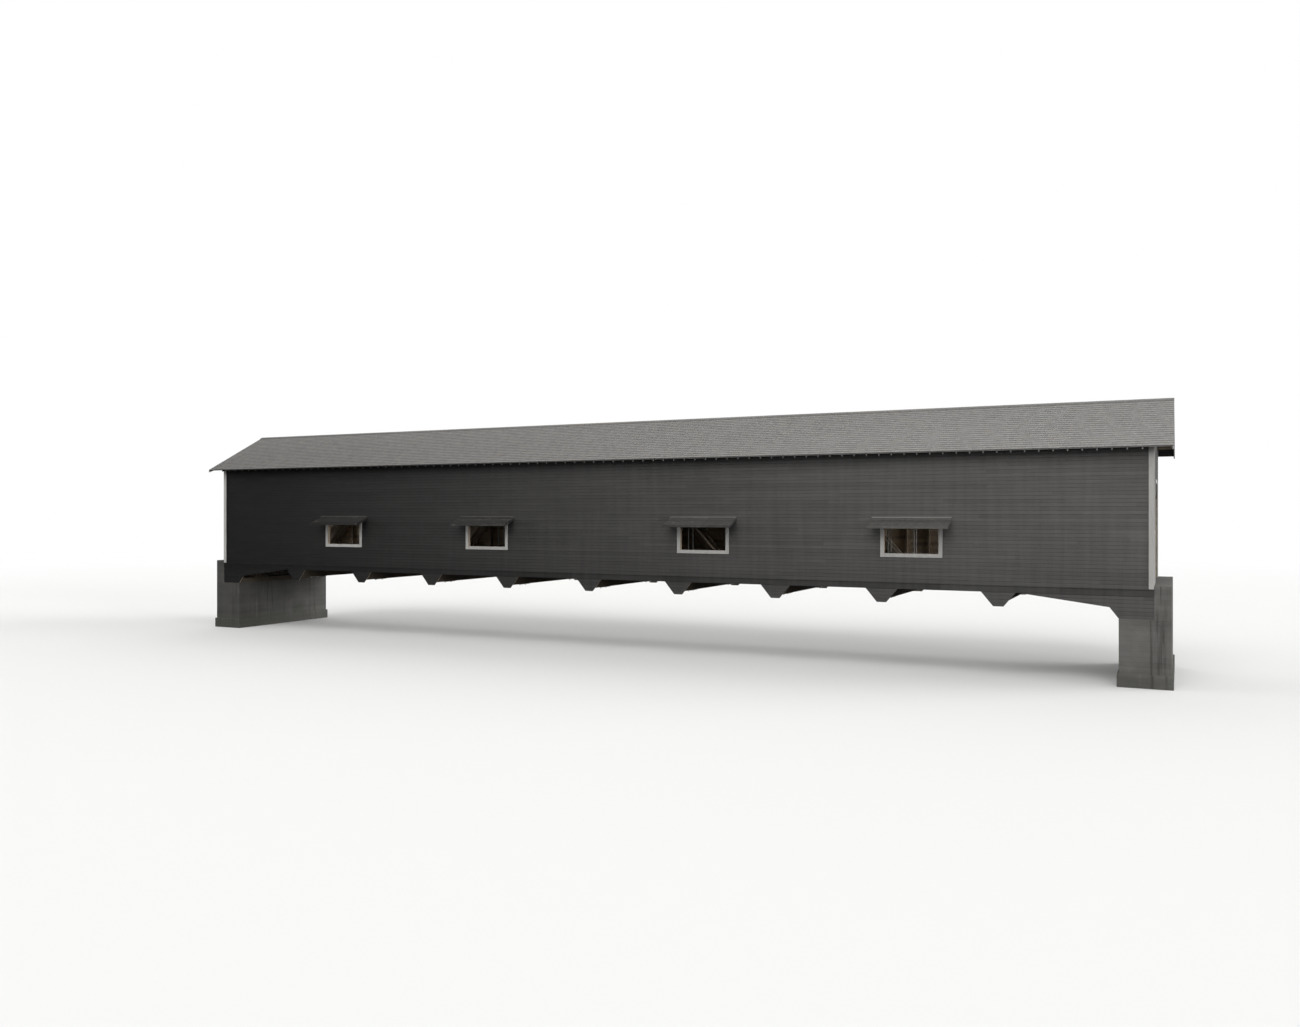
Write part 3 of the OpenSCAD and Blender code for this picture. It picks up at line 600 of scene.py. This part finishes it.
def between(bm, axis, low, high):
    """A closed copy of what lies between two planes across an axis."""
    part = bm.copy()
    for place, side in ((low, -1), (high, 1)):
        cut = bmesh.ops.bisect_plane(
            part, geom=geometry(part), dist=CUT, plane_co=axis * place, plane_no=axis * side,
            clear_outer=True)
        rim = [g for g in cut["geom_cut"] if isinstance(g, bmesh.types.BMEdge)]
        if rim:
            bmesh.ops.edgeloop_fill(part, edges=rim)
    return part


def reach(verts, axis):
    """How far vertices reach along an axis, as a lowest and a highest place."""
    places = [axis.dot(v.co) for v in verts]
    return min(places), max(places)


def note(bm, verts, axes, offset, tone):
    """Notes place along, across and through a board on its vertices, and the board's tone."""
    grain, shade = bm.verts.layers.float_vector["grain"], bm.verts.layers.float["tone"]
    for vert in verts:
        vert[grain] = axes @ vert.co + offset
        vert[shade] = tone


def note_timbers(bm, dice):
    """Notes the grain of each solid along its longest edge, and its tone."""
    for group in solids(bm):
        longest = max((e for v in group for e in v.link_edges), key=lambda e: e.calc_length())
        along = (longest.verts[1].co - longest.verts[0].co).normalized()
        across = along.cross(min(AXES, key=lambda a: abs(a.dot(along)))).normalized()
        axes = Matrix((along, across, along.cross(across)))
        offset = Vector((dice.uniform(20, 60), dice.uniform(0, 40), -20 - dice.uniform(0, 20)))
        note(bm, group, axes, offset, dice.random())


def ease(bm, by, segments=1):
    """Eases the outward edges of a bmesh."""
    sharp = [e for e in bm.edges if e.is_manifold and e.is_convex
             and e.calc_face_angle(0) > EASED]
    bmesh.ops.bevel(bm, geom=sharp, offset=by, offset_type="OFFSET", segments=segments,
                    profile=0.5, affect="EDGES", clamp_overlap=True, material=-1)


def cut_to_lengths(bm, longest, dice):
    """Cuts long timbers square across, so that lengths butt against each other."""
    for group in solids(bm):
        low, high = reach(group, X)
        place = low + longest * dice.uniform(SHORT_FIRST, 1)
        while place < high - SHORT_LAST * longest:
            geom = dict.fromkeys(g for v in group for g in (v, *v.link_edges, *v.link_faces))
            cut = bmesh.ops.bisect_plane(
                bm, geom=list(geom), dist=CUT, plane_co=X * place, plane_no=X)
            made = cut["geom_cut"]
            group += [g for g in made if isinstance(g, bmesh.types.BMVert)]
            place += longest * dice.uniform(SHORT_NEXT, 1)
            rim = [g for g in made if isinstance(g, bmesh.types.BMEdge)]
            halves = bmesh.ops.split_edges(bm, edges=rim)["edges"]
            group += [v for e in halves for v in e.verts if v not in group]
    bmesh.ops.holes_fill(bm, edges=[e for e in bm.edges if e.is_boundary])


def box(bm, low, high, matrix=None):
    """Adds a box between two corners, moved by a matrix, and gives its vertices."""
    low, high = Vector(low), Vector(high)
    shape = Matrix.Translation((low + high) / 2) @ Matrix.Diagonal((*(high - low), 1))
    return bmesh.ops.create_cube(bm, size=1, matrix=(matrix or Matrix()) @ shape)["verts"]


def anywhere(dice):
    """A place in the grain, by which one board differs from the next."""
    return Vector([dice.uniform(0, 40) for _ in AXES])


def piece(name, bm, *nodes, slot=None):
    """Makes a bmesh a piece of the bridge that stands for some CAD nodes."""
    slot = slot or SLOTS[nodes[0]]
    bmesh.ops.recalc_face_normals(bm, faces=bm.faces)
    mesh = bpy.data.meshes.new(name)
    bm.to_mesh(mesh)
    bm.free()
    mesh.materials.append(finish_for(slot))
    made = bpy.data.objects.new(name, mesh)
    bpy.context.scene.collection.objects.link(made)
    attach(made, "root")
    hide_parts(*nodes)
    if not mesh.polygons:
        raise RuntimeError(f"{name} has no faces")
    return made


def dressed(node, by, longest=None, segments=1):
    """A piece made from a CAD node, with the grain of each solid noted.

    by is how far its edges are eased, and longest the greatest length of one timber.
    """
    dice = random.Random(node)
    bm = whole(node)
    if longest:
        cut_to_lengths(bm, longest, dice)
    ease(bm, by, segments)
    note_timbers(bm, dice)
    return piece(node + "_dressed", bm, node)


def board_wall(bm, source, run, out, base, key):
    """Lays drop siding over a wall: boards of one exposure, with a cove along their tops.

    run is the axis along the boards, out the way the wall faces and base the height of a joint.
    """
    sizes = bpy.context.scene.bridge_sizes
    show, gap = sizes.board_show, sizes.board_gap / 2
    face = reach(source.verts, out)[1]
    low, high = reach(source.verts, Z)
    start, end = reach(source.verts, run)
    first, last = math.floor((low - base) / show), math.ceil((high - base) / show)
    for course in range(first, last):
        dice = random.Random(f"{key}{course}")
        z0 = base + course * show
        row = between(source, Z, z0 + gap, z0 + show - gap)
        place = start - dice.uniform(0, 1) * sizes.board_long
        while row.faces and place < end:
            length = sizes.board_long * dice.uniform(SHORT_BOARD, 1)
            offset = Vector((POST_STEP * dice.randrange(60), -z0, face))
            tone = dice.random()
            board = between(row, run, place + gap, place + length - gap)
            if board.faces:
                shape_cove(board, out, face, z0 + show - gap, sizes)
                note(board, board.verts, Matrix((run, Z, -out)), offset, tone)
                add(bm, board)
            place += length
        row.free()


def shape_cove(board, out, face, top, sizes):
    """Draws the top of a siding board back in a cove, under the lip of the board above."""
    bend = top - sizes.cove_high * COVE_BEND
    for height in (top - sizes.cove_high, bend):
        bmesh.ops.bisect_plane(board, geom=geometry(board), dist=CUT, plane_co=Z * height,
                               plane_no=Z)
    for height, drawn in ((bend, COVE_DRAWN), (top, 1.0)):
        front = [v for v in board.verts
                 if abs(v.co.z - height) < LEVEL and out.dot(v.co) > face - LEVEL]
        bmesh.ops.translate(board, verts=front, vec=out * (-sizes.cove_deep * drawn))
    for vert in board.verts:
        if abs(vert.co.z - top) < LEVEL and out.dot(vert.co) < face - 2 * sizes.cove_deep:
            vert.co.z += sizes.board_gap


def half(source, axis, side):
    """What lies on one side of the middle of the bridge."""
    part = source.copy()
    away = [v for group in solids(part) if sum(reach(group, axis)) * side < 0 for v in group]
    bmesh.ops.delete(part, geom=away, context="VERTS")
    return part


def slope(low, high, near):
    """The frame of a slope that rises from its foot, low, to high, in a box across the bridge.

    Its X runs along the bridge, its Y up the slope and its Z out of it.
    """
    foot = Vector((0, low.y if near else high.y, low.z))
    up = Vector((0, (high.y - low.y) * (1 if near else -1), high.z - low.z)).normalized()
    along = X if near else -X
    turn = Matrix((along, up, along.cross(up))).transposed()
    return Matrix.Translation(foot) @ turn.to_4x4()


# Operators

class PieceOperator:
    """What every operator of the bridge shares."""

    bl_options = {"REGISTER", "UNDO"}

    def execute(self, context):
        self.make(context.scene.bridge_sizes)
        return {"FINISHED"}


class BRIDGE_OT_siding(PieceOperator, bpy.types.Operator):
    """Lay the drop siding of both side walls"""

    bl_idname = "bridge.siding"
    bl_label = "Side Walls"

    def make(self, sizes):
        nodes = ("upper_siding", "window_siding", "lower_siding")
        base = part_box("skirt_boards")[1].z
        for name, side in (("near_siding", -1), ("far_siding", 1)):
            bm = blank()
            for node in nodes:
                source = half(whole(node), Y, side)
                board_wall(bm, source, X, Y * side, base, name)
                source.free()
            piece(name, bm, *nodes)


class BRIDGE_OT_covers(PieceOperator, bpy.types.Operator):
    """Board the covers over the floor beam ends"""

    bl_idname = "bridge.covers"
    bl_label = "Beam Covers"

    def make(self, sizes):
        covers = whole("beam_covers")
        foot = min(reach(g, Z)[0] for g in solids(covers) if abs(sum(reach(g, X))) < 1)
        bm = blank()
        for side in (-1, 1):
            source = half(covers, Y, side)
            board_wall(bm, source, X, Y * side, foot, f"covers{side}")
            source.free()
        covers.free()
        piece("beam_cover_boards", bm, "beam_covers")


class BRIDGE_OT_gables(PieceOperator, bpy.types.Operator):
    """Lay the siding of both end walls"""

    bl_idname = "bridge.gables"
    bl_label = "End Walls"

    def make(self, sizes):
        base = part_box("skirt_boards")[1].z
        bm = blank()
        for side in (-1, 1):
            source = half(whole("portals"), X, side)
            board_wall(bm, source, Y, X * side, base, f"gable{side}")
            source.free()
        piece("gable_boards", bm, "portals")


class BRIDGE_OT_trim(PieceOperator, bpy.types.Operator):
    """Dress the skirt, corner, window, rake and portal boards"""

    bl_idname = "bridge.trim"
    bl_label = "Trim Boards"

    def make(self, sizes):
        dressed("skirt_boards", TRIM_EDGE, sizes.trim_long)
        for node in ("corner_boards", "rake_boards", "portal_trim"):
            dressed(node, TRIM_EDGE)
        self.window_boards(sizes)

    def window_boards(self, sizes):
        """Four boards round each window opening."""
        boards, beams = whole("window_trim"), whole("window_headers")
        headers = [[reach(g, axis) for axis in AXES] for g in solids(beams)]
        bm = blank()
        for group in solids(boards):
            (x0, x1), (y0, y1), (z0, z1) = (reach(group, axis) for axis in AXES)
            near = [h for h in headers if x0 < sum(h[0]) / 2 < x1 and y0 * h[1][0] > 0]
            open_x, open_low = near[0][0], min(h[2][1] for h in near)
            open_high = max(h[2][0] for h in near)
            gap = sizes.board_gap
            for low, high in (
                    ((x0, z0), (open_x[0], z1)), ((open_x[1], z0), (x1, z1)),
                    ((open_x[0] + gap, z0), (open_x[1] - gap, open_low)),
                    ((open_x[0] + gap, open_high), (open_x[1] - gap, z1))):
                box(bm, (low[0], y0, low[1]), (high[0], y1, high[1]))
        boards.free()
        beams.free()
        ease(bm, TRIM_EDGE)
        note_timbers(bm, random.Random("window boards"))
        piece("window_boards", bm, "window_trim")


class BRIDGE_OT_hoods(PieceOperator, bpy.types.Operator):
    """Board the window hoods and dress their brackets and edges"""

    bl_idname = "bridge.hoods"
    bl_label = "Window Hoods"

    # Rows of boards up a hood, and the length of a lapped board as a share of what it shows.
    ROWS, LAPPED = 5, 1.35

    # How far each board is raised by the one below, as a share of its thickness, and where the
    # rows start, as a share of the hood's plumb thickness.
    LEAN, START = 0.9, 0.46

    def make(self, sizes):
        dice = random.Random("hoods")
        source = whole("window_hoods")
        bm = blank()
        for group in solids(source):
            low, high = (Vector(c) for c in zip(*(reach(group, axis) for axis in AXES)))
            near = low.y < 0
            plumb = (high.z - low.z) - self.fall(group)
            frame_of = slope(low, Vector((high.x, high.y, high.z - plumb)), near)
            middle = Matrix.Translation(X * (low.x + high.x) / 2)
            long = (high.x - low.x) / 2
            up = math.hypot(high.y - low.y, high.z - plumb - low.z)
            self.lap(bm, middle @ frame_of, long, up, plumb, sizes, dice)
        source.free()
        piece("hood_boards", bm, "window_hoods")
        dressed("hood_brackets", TRIM_EDGE)
        dressed("hood_trim", TRIM_EDGE)

    def fall(self, group):
        """How far the underside of a hood falls from the wall to its edge."""
        low = min(v.co.z for v in group)
        wall = max(group, key=lambda v: -abs(v.co.y))
        inner = [v.co.z for v in group if abs(v.co.y - wall.co.y) < LEVEL]
        return min(inner) - low

    def lap(self, bm, place, long, up, plumb, sizes, dice):
        """Lapped boards up one hood."""
        thick, start = sizes.hood_board, plumb * self.START
        show = (up - start) / self.ROWS
        turn = Matrix.Rotation(-math.asin(thick * self.LEAN / show), 4, "X")
        for row in range(self.ROWS):
            length = show * (self.LAPPED if row < self.ROWS - 1 else 1)
            head = Matrix.Translation((0, start + row * show, sizes.hood_thick - BELOW_TOP))
            made = box(bm, (-long + dice.uniform(0, 0.002), 0, -thick),
                       (long - dice.uniform(0, 0.002), length, 0), matrix=place @ head @ turn)
            note(bm, made, place.to_3x3().transposed(), anywhere(dice), dice.random())


class BRIDGE_OT_roof(PieceOperator, bpy.types.Operator):
    """Lay the roof boards, the shakes and the ridge cap"""

    bl_idname = "bridge.roof"
    bl_label = "Roof"

    # How near a joint may come to one of the course below, in metres.
    LAP = 0.012

    # How far up the slope the courses start, as a share of the roof's thickness.
    START = 0.53

    # The longest board of the ridge cap and of the roof, in metres.
    RIDGE_LONG, BOARD_LONG = 2.44, 3.66

    # How far the roof boards stay in from the eave and from the gables, apart from each other,
    # and above the rafters, in metres.
    EAVE_IN, GABLE_IN, APART, ABOVE = 0.006, 0.001, 0.0005, 0.0002

    # Rounds in which the plumb thickness settles.
    ROUNDS = 8

    def make(self, sizes):
        for node, near in (("near_roof", True), ("far_roof", False)):
            low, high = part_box(node)
            plumb = self.plumb(low, high, sizes)
            place = slope(low, Vector((0, high.y, high.z - plumb)), near)
            up = math.hypot(high.y - low.y, high.z - plumb - low.z)
            self.shakes(node, place, high.x, up, sizes)
            self.sheathing(node, place, high.x, up, sizes)
        dressed("ridge_cap", TRIM_EDGE, self.RIDGE_LONG)

    def plumb(self, low, high, sizes):
        """Thickness of the roof measured plumb."""
        wide, tall, plumb = high.y - low.y, high.z - low.z, sizes.roof_thick
        for _ in range(self.ROUNDS):
            plumb = sizes.roof_thick * math.hypot(wide, tall - plumb) / wide
        return plumb

    def near_joint(self, edge, joints):
        """Whether a joint would come near one of the course below, where rain could run in."""
        cell = round(edge / self.LAP)
        return any(other in joints for other in (cell - 1, cell, cell + 1))

    def shakes(self, node, place, long, up, sizes):
        """Courses of shakes of mixed widths, the first one doubled, with the joints broken."""
        dice = random.Random(node)
        show, thick = sizes.shake_show, sizes.shake_thick
        turn = Matrix.Rotation(-math.asin(thick / show), 4, "X")
        axes = (place.to_3x3() @ Matrix(((0, 1, 0), (1, 0, 0), (0, 0, 1)))).transposed()
        start = sizes.roof_thick * self.START
        rows = round((up - start) / show)
        bm, below = blank(), set()
        for row in range(-1, rows):
            first = row < 0
            course, joints = blank(), set()
            edge = -long
            foot = start + max(row, 0) * show
            while edge < long - LEFT_OVER:
                wide = dice.uniform(sizes.shake_narrow, sizes.shake_wide)
                while self.near_joint(edge + wide, below):
                    wide += self.LAP
                if long - edge - wide < sizes.shake_narrow:
                    wide = long - edge
                drop = 0 if first or row == 0 else dice.uniform(-0.004, 0.003)
                height = sizes.sheathing_thick + thick if first else \
                    sizes.roof_thick - BELOW_TOP - dice.uniform(0, 0.0016)
                length = show if first else min(sizes.shake_long, up - foot)
                gap = dice.uniform(0.0008, 0.0022)
                head = Matrix.Translation((edge + wide / 2, foot + drop, height))
                lean = Matrix.Rotation(dice.uniform(-0.01, 0.01), 4, "Y")
                lie = head if first else head @ turn @ lean
                made = box(course, (gap - wide / 2, 0, -thick * dice.uniform(0.8, 1)),
                           (wide / 2 - gap, length, 0), matrix=place @ lie)
                grain = Vector((0, dice.uniform(0, 40), dice.uniform(0, 40)))
                grain.x = -axes[0].dot((place @ lie).translation)
                note(course, made, axes, grain, dice.random())
                edge += wide
                joints.add(round(edge / self.LAP))
            below = joints
            add(bm, course)
        piece(node.replace("roof", "shakes"), bm, node)

    def sheathing(self, node, place, long, up, sizes):
        """Spaced boards under the shakes, cut in lengths."""
        dice = random.Random(node + " boards")
        bm = blank()
        foot, end = self.EAVE_IN, long - self.GABLE_IN
        while foot < up - LEFT_OVER:
            edge = -end
            wide = min(sizes.sheathing_wide, up - foot)
            joint = edge + dice.uniform(0.5, 1) * self.BOARD_LONG
            while edge < end:
                joint = min(joint, end)
                made = box(bm, (edge + self.APART, foot, self.ABOVE),
                           (joint - self.APART, foot + wide, sizes.sheathing_thick),
                           matrix=place)
                note(bm, made, place.to_3x3().transposed(), anywhere(dice), dice.random())
                edge, joint = joint, joint + self.BOARD_LONG
            foot += sizes.shake_show
        piece(node.replace("roof", "roof_boards"), bm, node, slot="timber")


class BRIDGE_OT_frame(PieceOperator, bpy.types.Operator):
    """Dress the timbers of the walls and the roof"""

    bl_idname = "bridge.frame"
    bl_label = "Wall and Roof Timbers"

    def make(self, sizes):
        for node, (by, longest) in {**WALL_TIMBERS, **ROOF_TIMBERS}.items():
            dressed(node, by, longest)


class BRIDGE_OT_trusses(PieceOperator, bpy.types.Operator):
    """Dress the chords, braces, bolsters and laterals"""

    bl_idname = "bridge.trusses"
    bl_label = "Truss Timbers"

    def make(self, sizes):
        for node, (by, longest) in TRUSS_TIMBERS.items():
            dressed(node, by, longest)


class BRIDGE_OT_iron(PieceOperator, bpy.types.Operator):
    """Dress the angle blocks, rods, plates and nuts"""

    bl_idname = "bridge.iron"
    bl_label = "Iron and Steel"

    def make(self, sizes):
        dressed("angle_blocks", 0.004, segments=2)
        dressed("washer_plates", 0.0012)
        nuts = dressed("rod_nuts", 0.0015)
        rods = dressed("tie_rods", 0.002)
        for made in (nuts, rods):
            made.data.shade_smooth()
            made.data.set_sharp_from_angle(angle=SHARP)


class BRIDGE_OT_floor(PieceOperator, bpy.types.Operator):
    """Lay the planks and dress the timbers of the floor"""

    bl_idname = "bridge.floor"
    bl_label = "Floor"

    # The last plank takes in what is left where that is narrower than this, in metres.
    NARROW = 0.08

    def make(self, sizes):
        for node, (by, longest) in FLOOR_TIMBERS.items():
            dressed(node, by, longest)
        for node in ("road_deck", "walkway_deck"):
            self.planks(node, sizes)

    def planks(self, node, sizes):
        """Planks across a deck, of slightly different widths and heights."""
        dice = random.Random(node)
        low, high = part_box(node)
        bm, edge = blank(), low.x
        while edge < high.x - LEFT_OVER:
            wide = sizes.plank_wide * dice.uniform(0.96, 1.02)
            end = high.x if high.x - edge - wide < self.NARROW else edge + wide
            box(bm, (edge, low.y + dice.uniform(0, 0.003), low.z),
                (end - sizes.plank_gap, high.y - dice.uniform(0, 0.003),
                 high.z - dice.uniform(0, 0.0015)))
            edge = end
        ease(bm, 0.003)
        note_timbers(bm, dice)
        piece(node + "_planks", bm, node)


class BRIDGE_OT_abutments(PieceOperator, bpy.types.Operator):
    """Dress the concrete abutments"""

    bl_idname = "bridge.abutments"
    bl_label = "Abutments"

    def make(self, sizes):
        dressed("abutments", 0.012, segments=2)


class BRIDGE_OT_stage(PieceOperator, bpy.types.Operator):
    """Set up the floor, the light and the camera"""

    bl_idname = "bridge.stage"
    bl_label = "Stage"

    # Each lamp's name, the way towards it, its strength and its width in degrees.
    LAMPS = (
        ("key", (0.05, -0.76, 0.62), 1.62, 50),
        ("fill", (0.75, -0.9, 0.5), 0.2, 80),
        ("left_end", (-0.95, -0.22, 0.14), 1.3, 35),
        ("right_end", (0.85, 0.40, 0.28), 2.0, 45),
        ("portal", (0.96, -0.26, 0.12), 1.25, 18),
        ("back", (-0.55, 0.78, 0.42), 0.7, 80),
    )

    # Strength of the light from all round, and the floor's shade to all rays but the camera's.
    ROUND_LIGHT = 0.46
    DULL_FLOOR = (0.14, 0.14, 0.14, 1)

    # Half the side of the floor, and how far out it starts and ends turning white, in metres.
    FLOOR_HALF, FLOOR_FADE = 400, (26.0, 75.0)

    # The camera's place in metres, its turn in degrees, and its lens and film in millimetres.
    CAMERA_PLACE, CAMERA_TURN = (14.76, -27.73, 3.85), (90, 0, 26.57)
    CAMERA_LENS, CAMERA_FILM = 29.35, 36.0

    WHITE = (1, 1, 1, 1)

    def make(self, sizes):
        scene = bpy.context.scene
        scene.view_settings.view_transform = "Standard"
        self.pale_floor(scene)
        self.sky(scene)
        for lamp in self.LAMPS:
            self.lamp(scene, *lamp)
        self.camera(scene)

    def pale_floor(self, scene):
        """A pale floor that turns to the white backdrop far from the bridge."""
        bm = bmesh.new()
        bmesh.ops.create_grid(bm, x_segments=1, y_segments=1, size=self.FLOOR_HALF)
        mesh = bpy.data.meshes.new("floor")
        bm.to_mesh(mesh)
        bm.free()
        material = bpy.data.materials.new("studio_floor")
        finish = Finish(material)
        far = finish.node(
            "ShaderNodeVectorMath", {0: finish.place()}, output=1, operation="LENGTH")
        ray = finish.node("ShaderNodeLightPath")
        seen = finish.node("ShaderNodeBsdfDiffuse", {"Color": (*scene.bridge_colours.floor, 1)})
        dull = finish.node("ShaderNodeBsdfDiffuse", {"Color": self.DULL_FLOOR})
        white = finish.node("ShaderNodeEmission", {"Color": self.WHITE, "Strength": 1.0})
        near = finish.node("ShaderNodeMixShader", {0: ray, 1: dull, 2: seen})
        edge = finish.step(far, *self.FLOOR_FADE) * ray
        shader = finish.node("ShaderNodeMixShader", {0: edge, 1: near, 2: white})
        finish.node("ShaderNodeOutputMaterial", {"Surface": shader})
        mesh.materials.append(material)
        floor = bpy.data.objects.new("floor", mesh)
        scene.collection.objects.link(floor)

    def sky(self, scene):
        """Soft light from all round, and white behind the bridge and in what is glossy."""
        scene.world = bpy.data.worlds.new("studio")
        finish = Finish(scene.world)
        paths = finish.node("ShaderNodeLightPath").socket.node.outputs
        kinds = ("Is Camera Ray", "Is Glossy Ray", "Is Transmission Ray")
        camera, gloss, glass = (Wire(finish, paths[kind]) for kind in kinds)
        light = finish.node(
            "ShaderNodeBackground", {"Color": self.WHITE, "Strength": self.ROUND_LIGHT})
        white = finish.node("ShaderNodeBackground", {"Color": self.WHITE, "Strength": 1.0})
        shader = finish.node(
            "ShaderNodeMixShader", {0: camera + gloss + glass, 1: light, 2: white})
        finish.node("ShaderNodeOutputWorld", {"Surface": shader})

    def lamp(self, scene, name, towards, strength, wide):
        """A lamp so far off that it lights the bridge evenly, and wide enough to be soft."""
        data = bpy.data.lights.new(name, "SUN")
        data.energy = strength
        data.angle = math.radians(wide)
        made = bpy.data.objects.new(name, data)
        made.rotation_euler = Vector(towards).to_track_quat("Z", "Y").to_euler()
        made.location = Vector(towards) * 30
        scene.collection.objects.link(made)

    def camera(self, scene):
        """The camera stands level, in front of the right end and turned to the left."""
        data = bpy.data.cameras.new("camera")
        data.sensor_width = self.CAMERA_FILM
        data.lens = self.CAMERA_LENS
        data.clip_end = 2000
        made = bpy.data.objects.new("camera", data)
        made.location = self.CAMERA_PLACE
        made.rotation_euler = [math.radians(turn) for turn in self.CAMERA_TURN]
        scene.collection.objects.link(made)
        scene.camera = made


OPERATORS = (
    BRIDGE_OT_siding, BRIDGE_OT_covers, BRIDGE_OT_gables, BRIDGE_OT_trim, BRIDGE_OT_hoods,
    BRIDGE_OT_roof, BRIDGE_OT_frame, BRIDGE_OT_trusses, BRIDGE_OT_iron, BRIDGE_OT_floor,
    BRIDGE_OT_abutments, BRIDGE_OT_stage,
)


class BRIDGE_PT_panel(bpy.types.Panel):
    """The pieces, sizes and colours of the bridge"""

    bl_label = "Covered Bridge"
    bl_idname = "BRIDGE_PT_panel"
    bl_space_type = "VIEW_3D"
    bl_region_type = "UI"
    bl_category = "Bridge"

    def draw(self, context):
        for operator in OPERATORS:
            self.layout.operator(operator.bl_idname)
        for settings in (context.scene.bridge_sizes, context.scene.bridge_colours):
            column = self.layout.column()
            for name in settings.__annotations__:
                column.prop(settings, name)


CLASSES = (BridgeSizes, BridgeColours, *OPERATORS, BRIDGE_PT_panel)


def register():
    """Registers the classes, and the sizes and colours of a scene."""
    for each in CLASSES:
        bpy.utils.register_class(each)
    bpy.types.Scene.bridge_sizes = bpy.props.PointerProperty(type=BridgeSizes)
    bpy.types.Scene.bridge_colours = bpy.props.PointerProperty(type=BridgeColours)


def unregister():
    """Takes back what register did."""
    del bpy.types.Scene.bridge_colours
    del bpy.types.Scene.bridge_sizes
    for each in reversed(CLASSES):
        bpy.utils.unregister_class(each)


def main():
    """Makes every piece and the stage."""
    register()
    for operator in OPERATORS:
        group, name = operator.bl_idname.split(".")
        getattr(getattr(bpy.ops, group), name)()


if __name__ == "__main__":
    main()
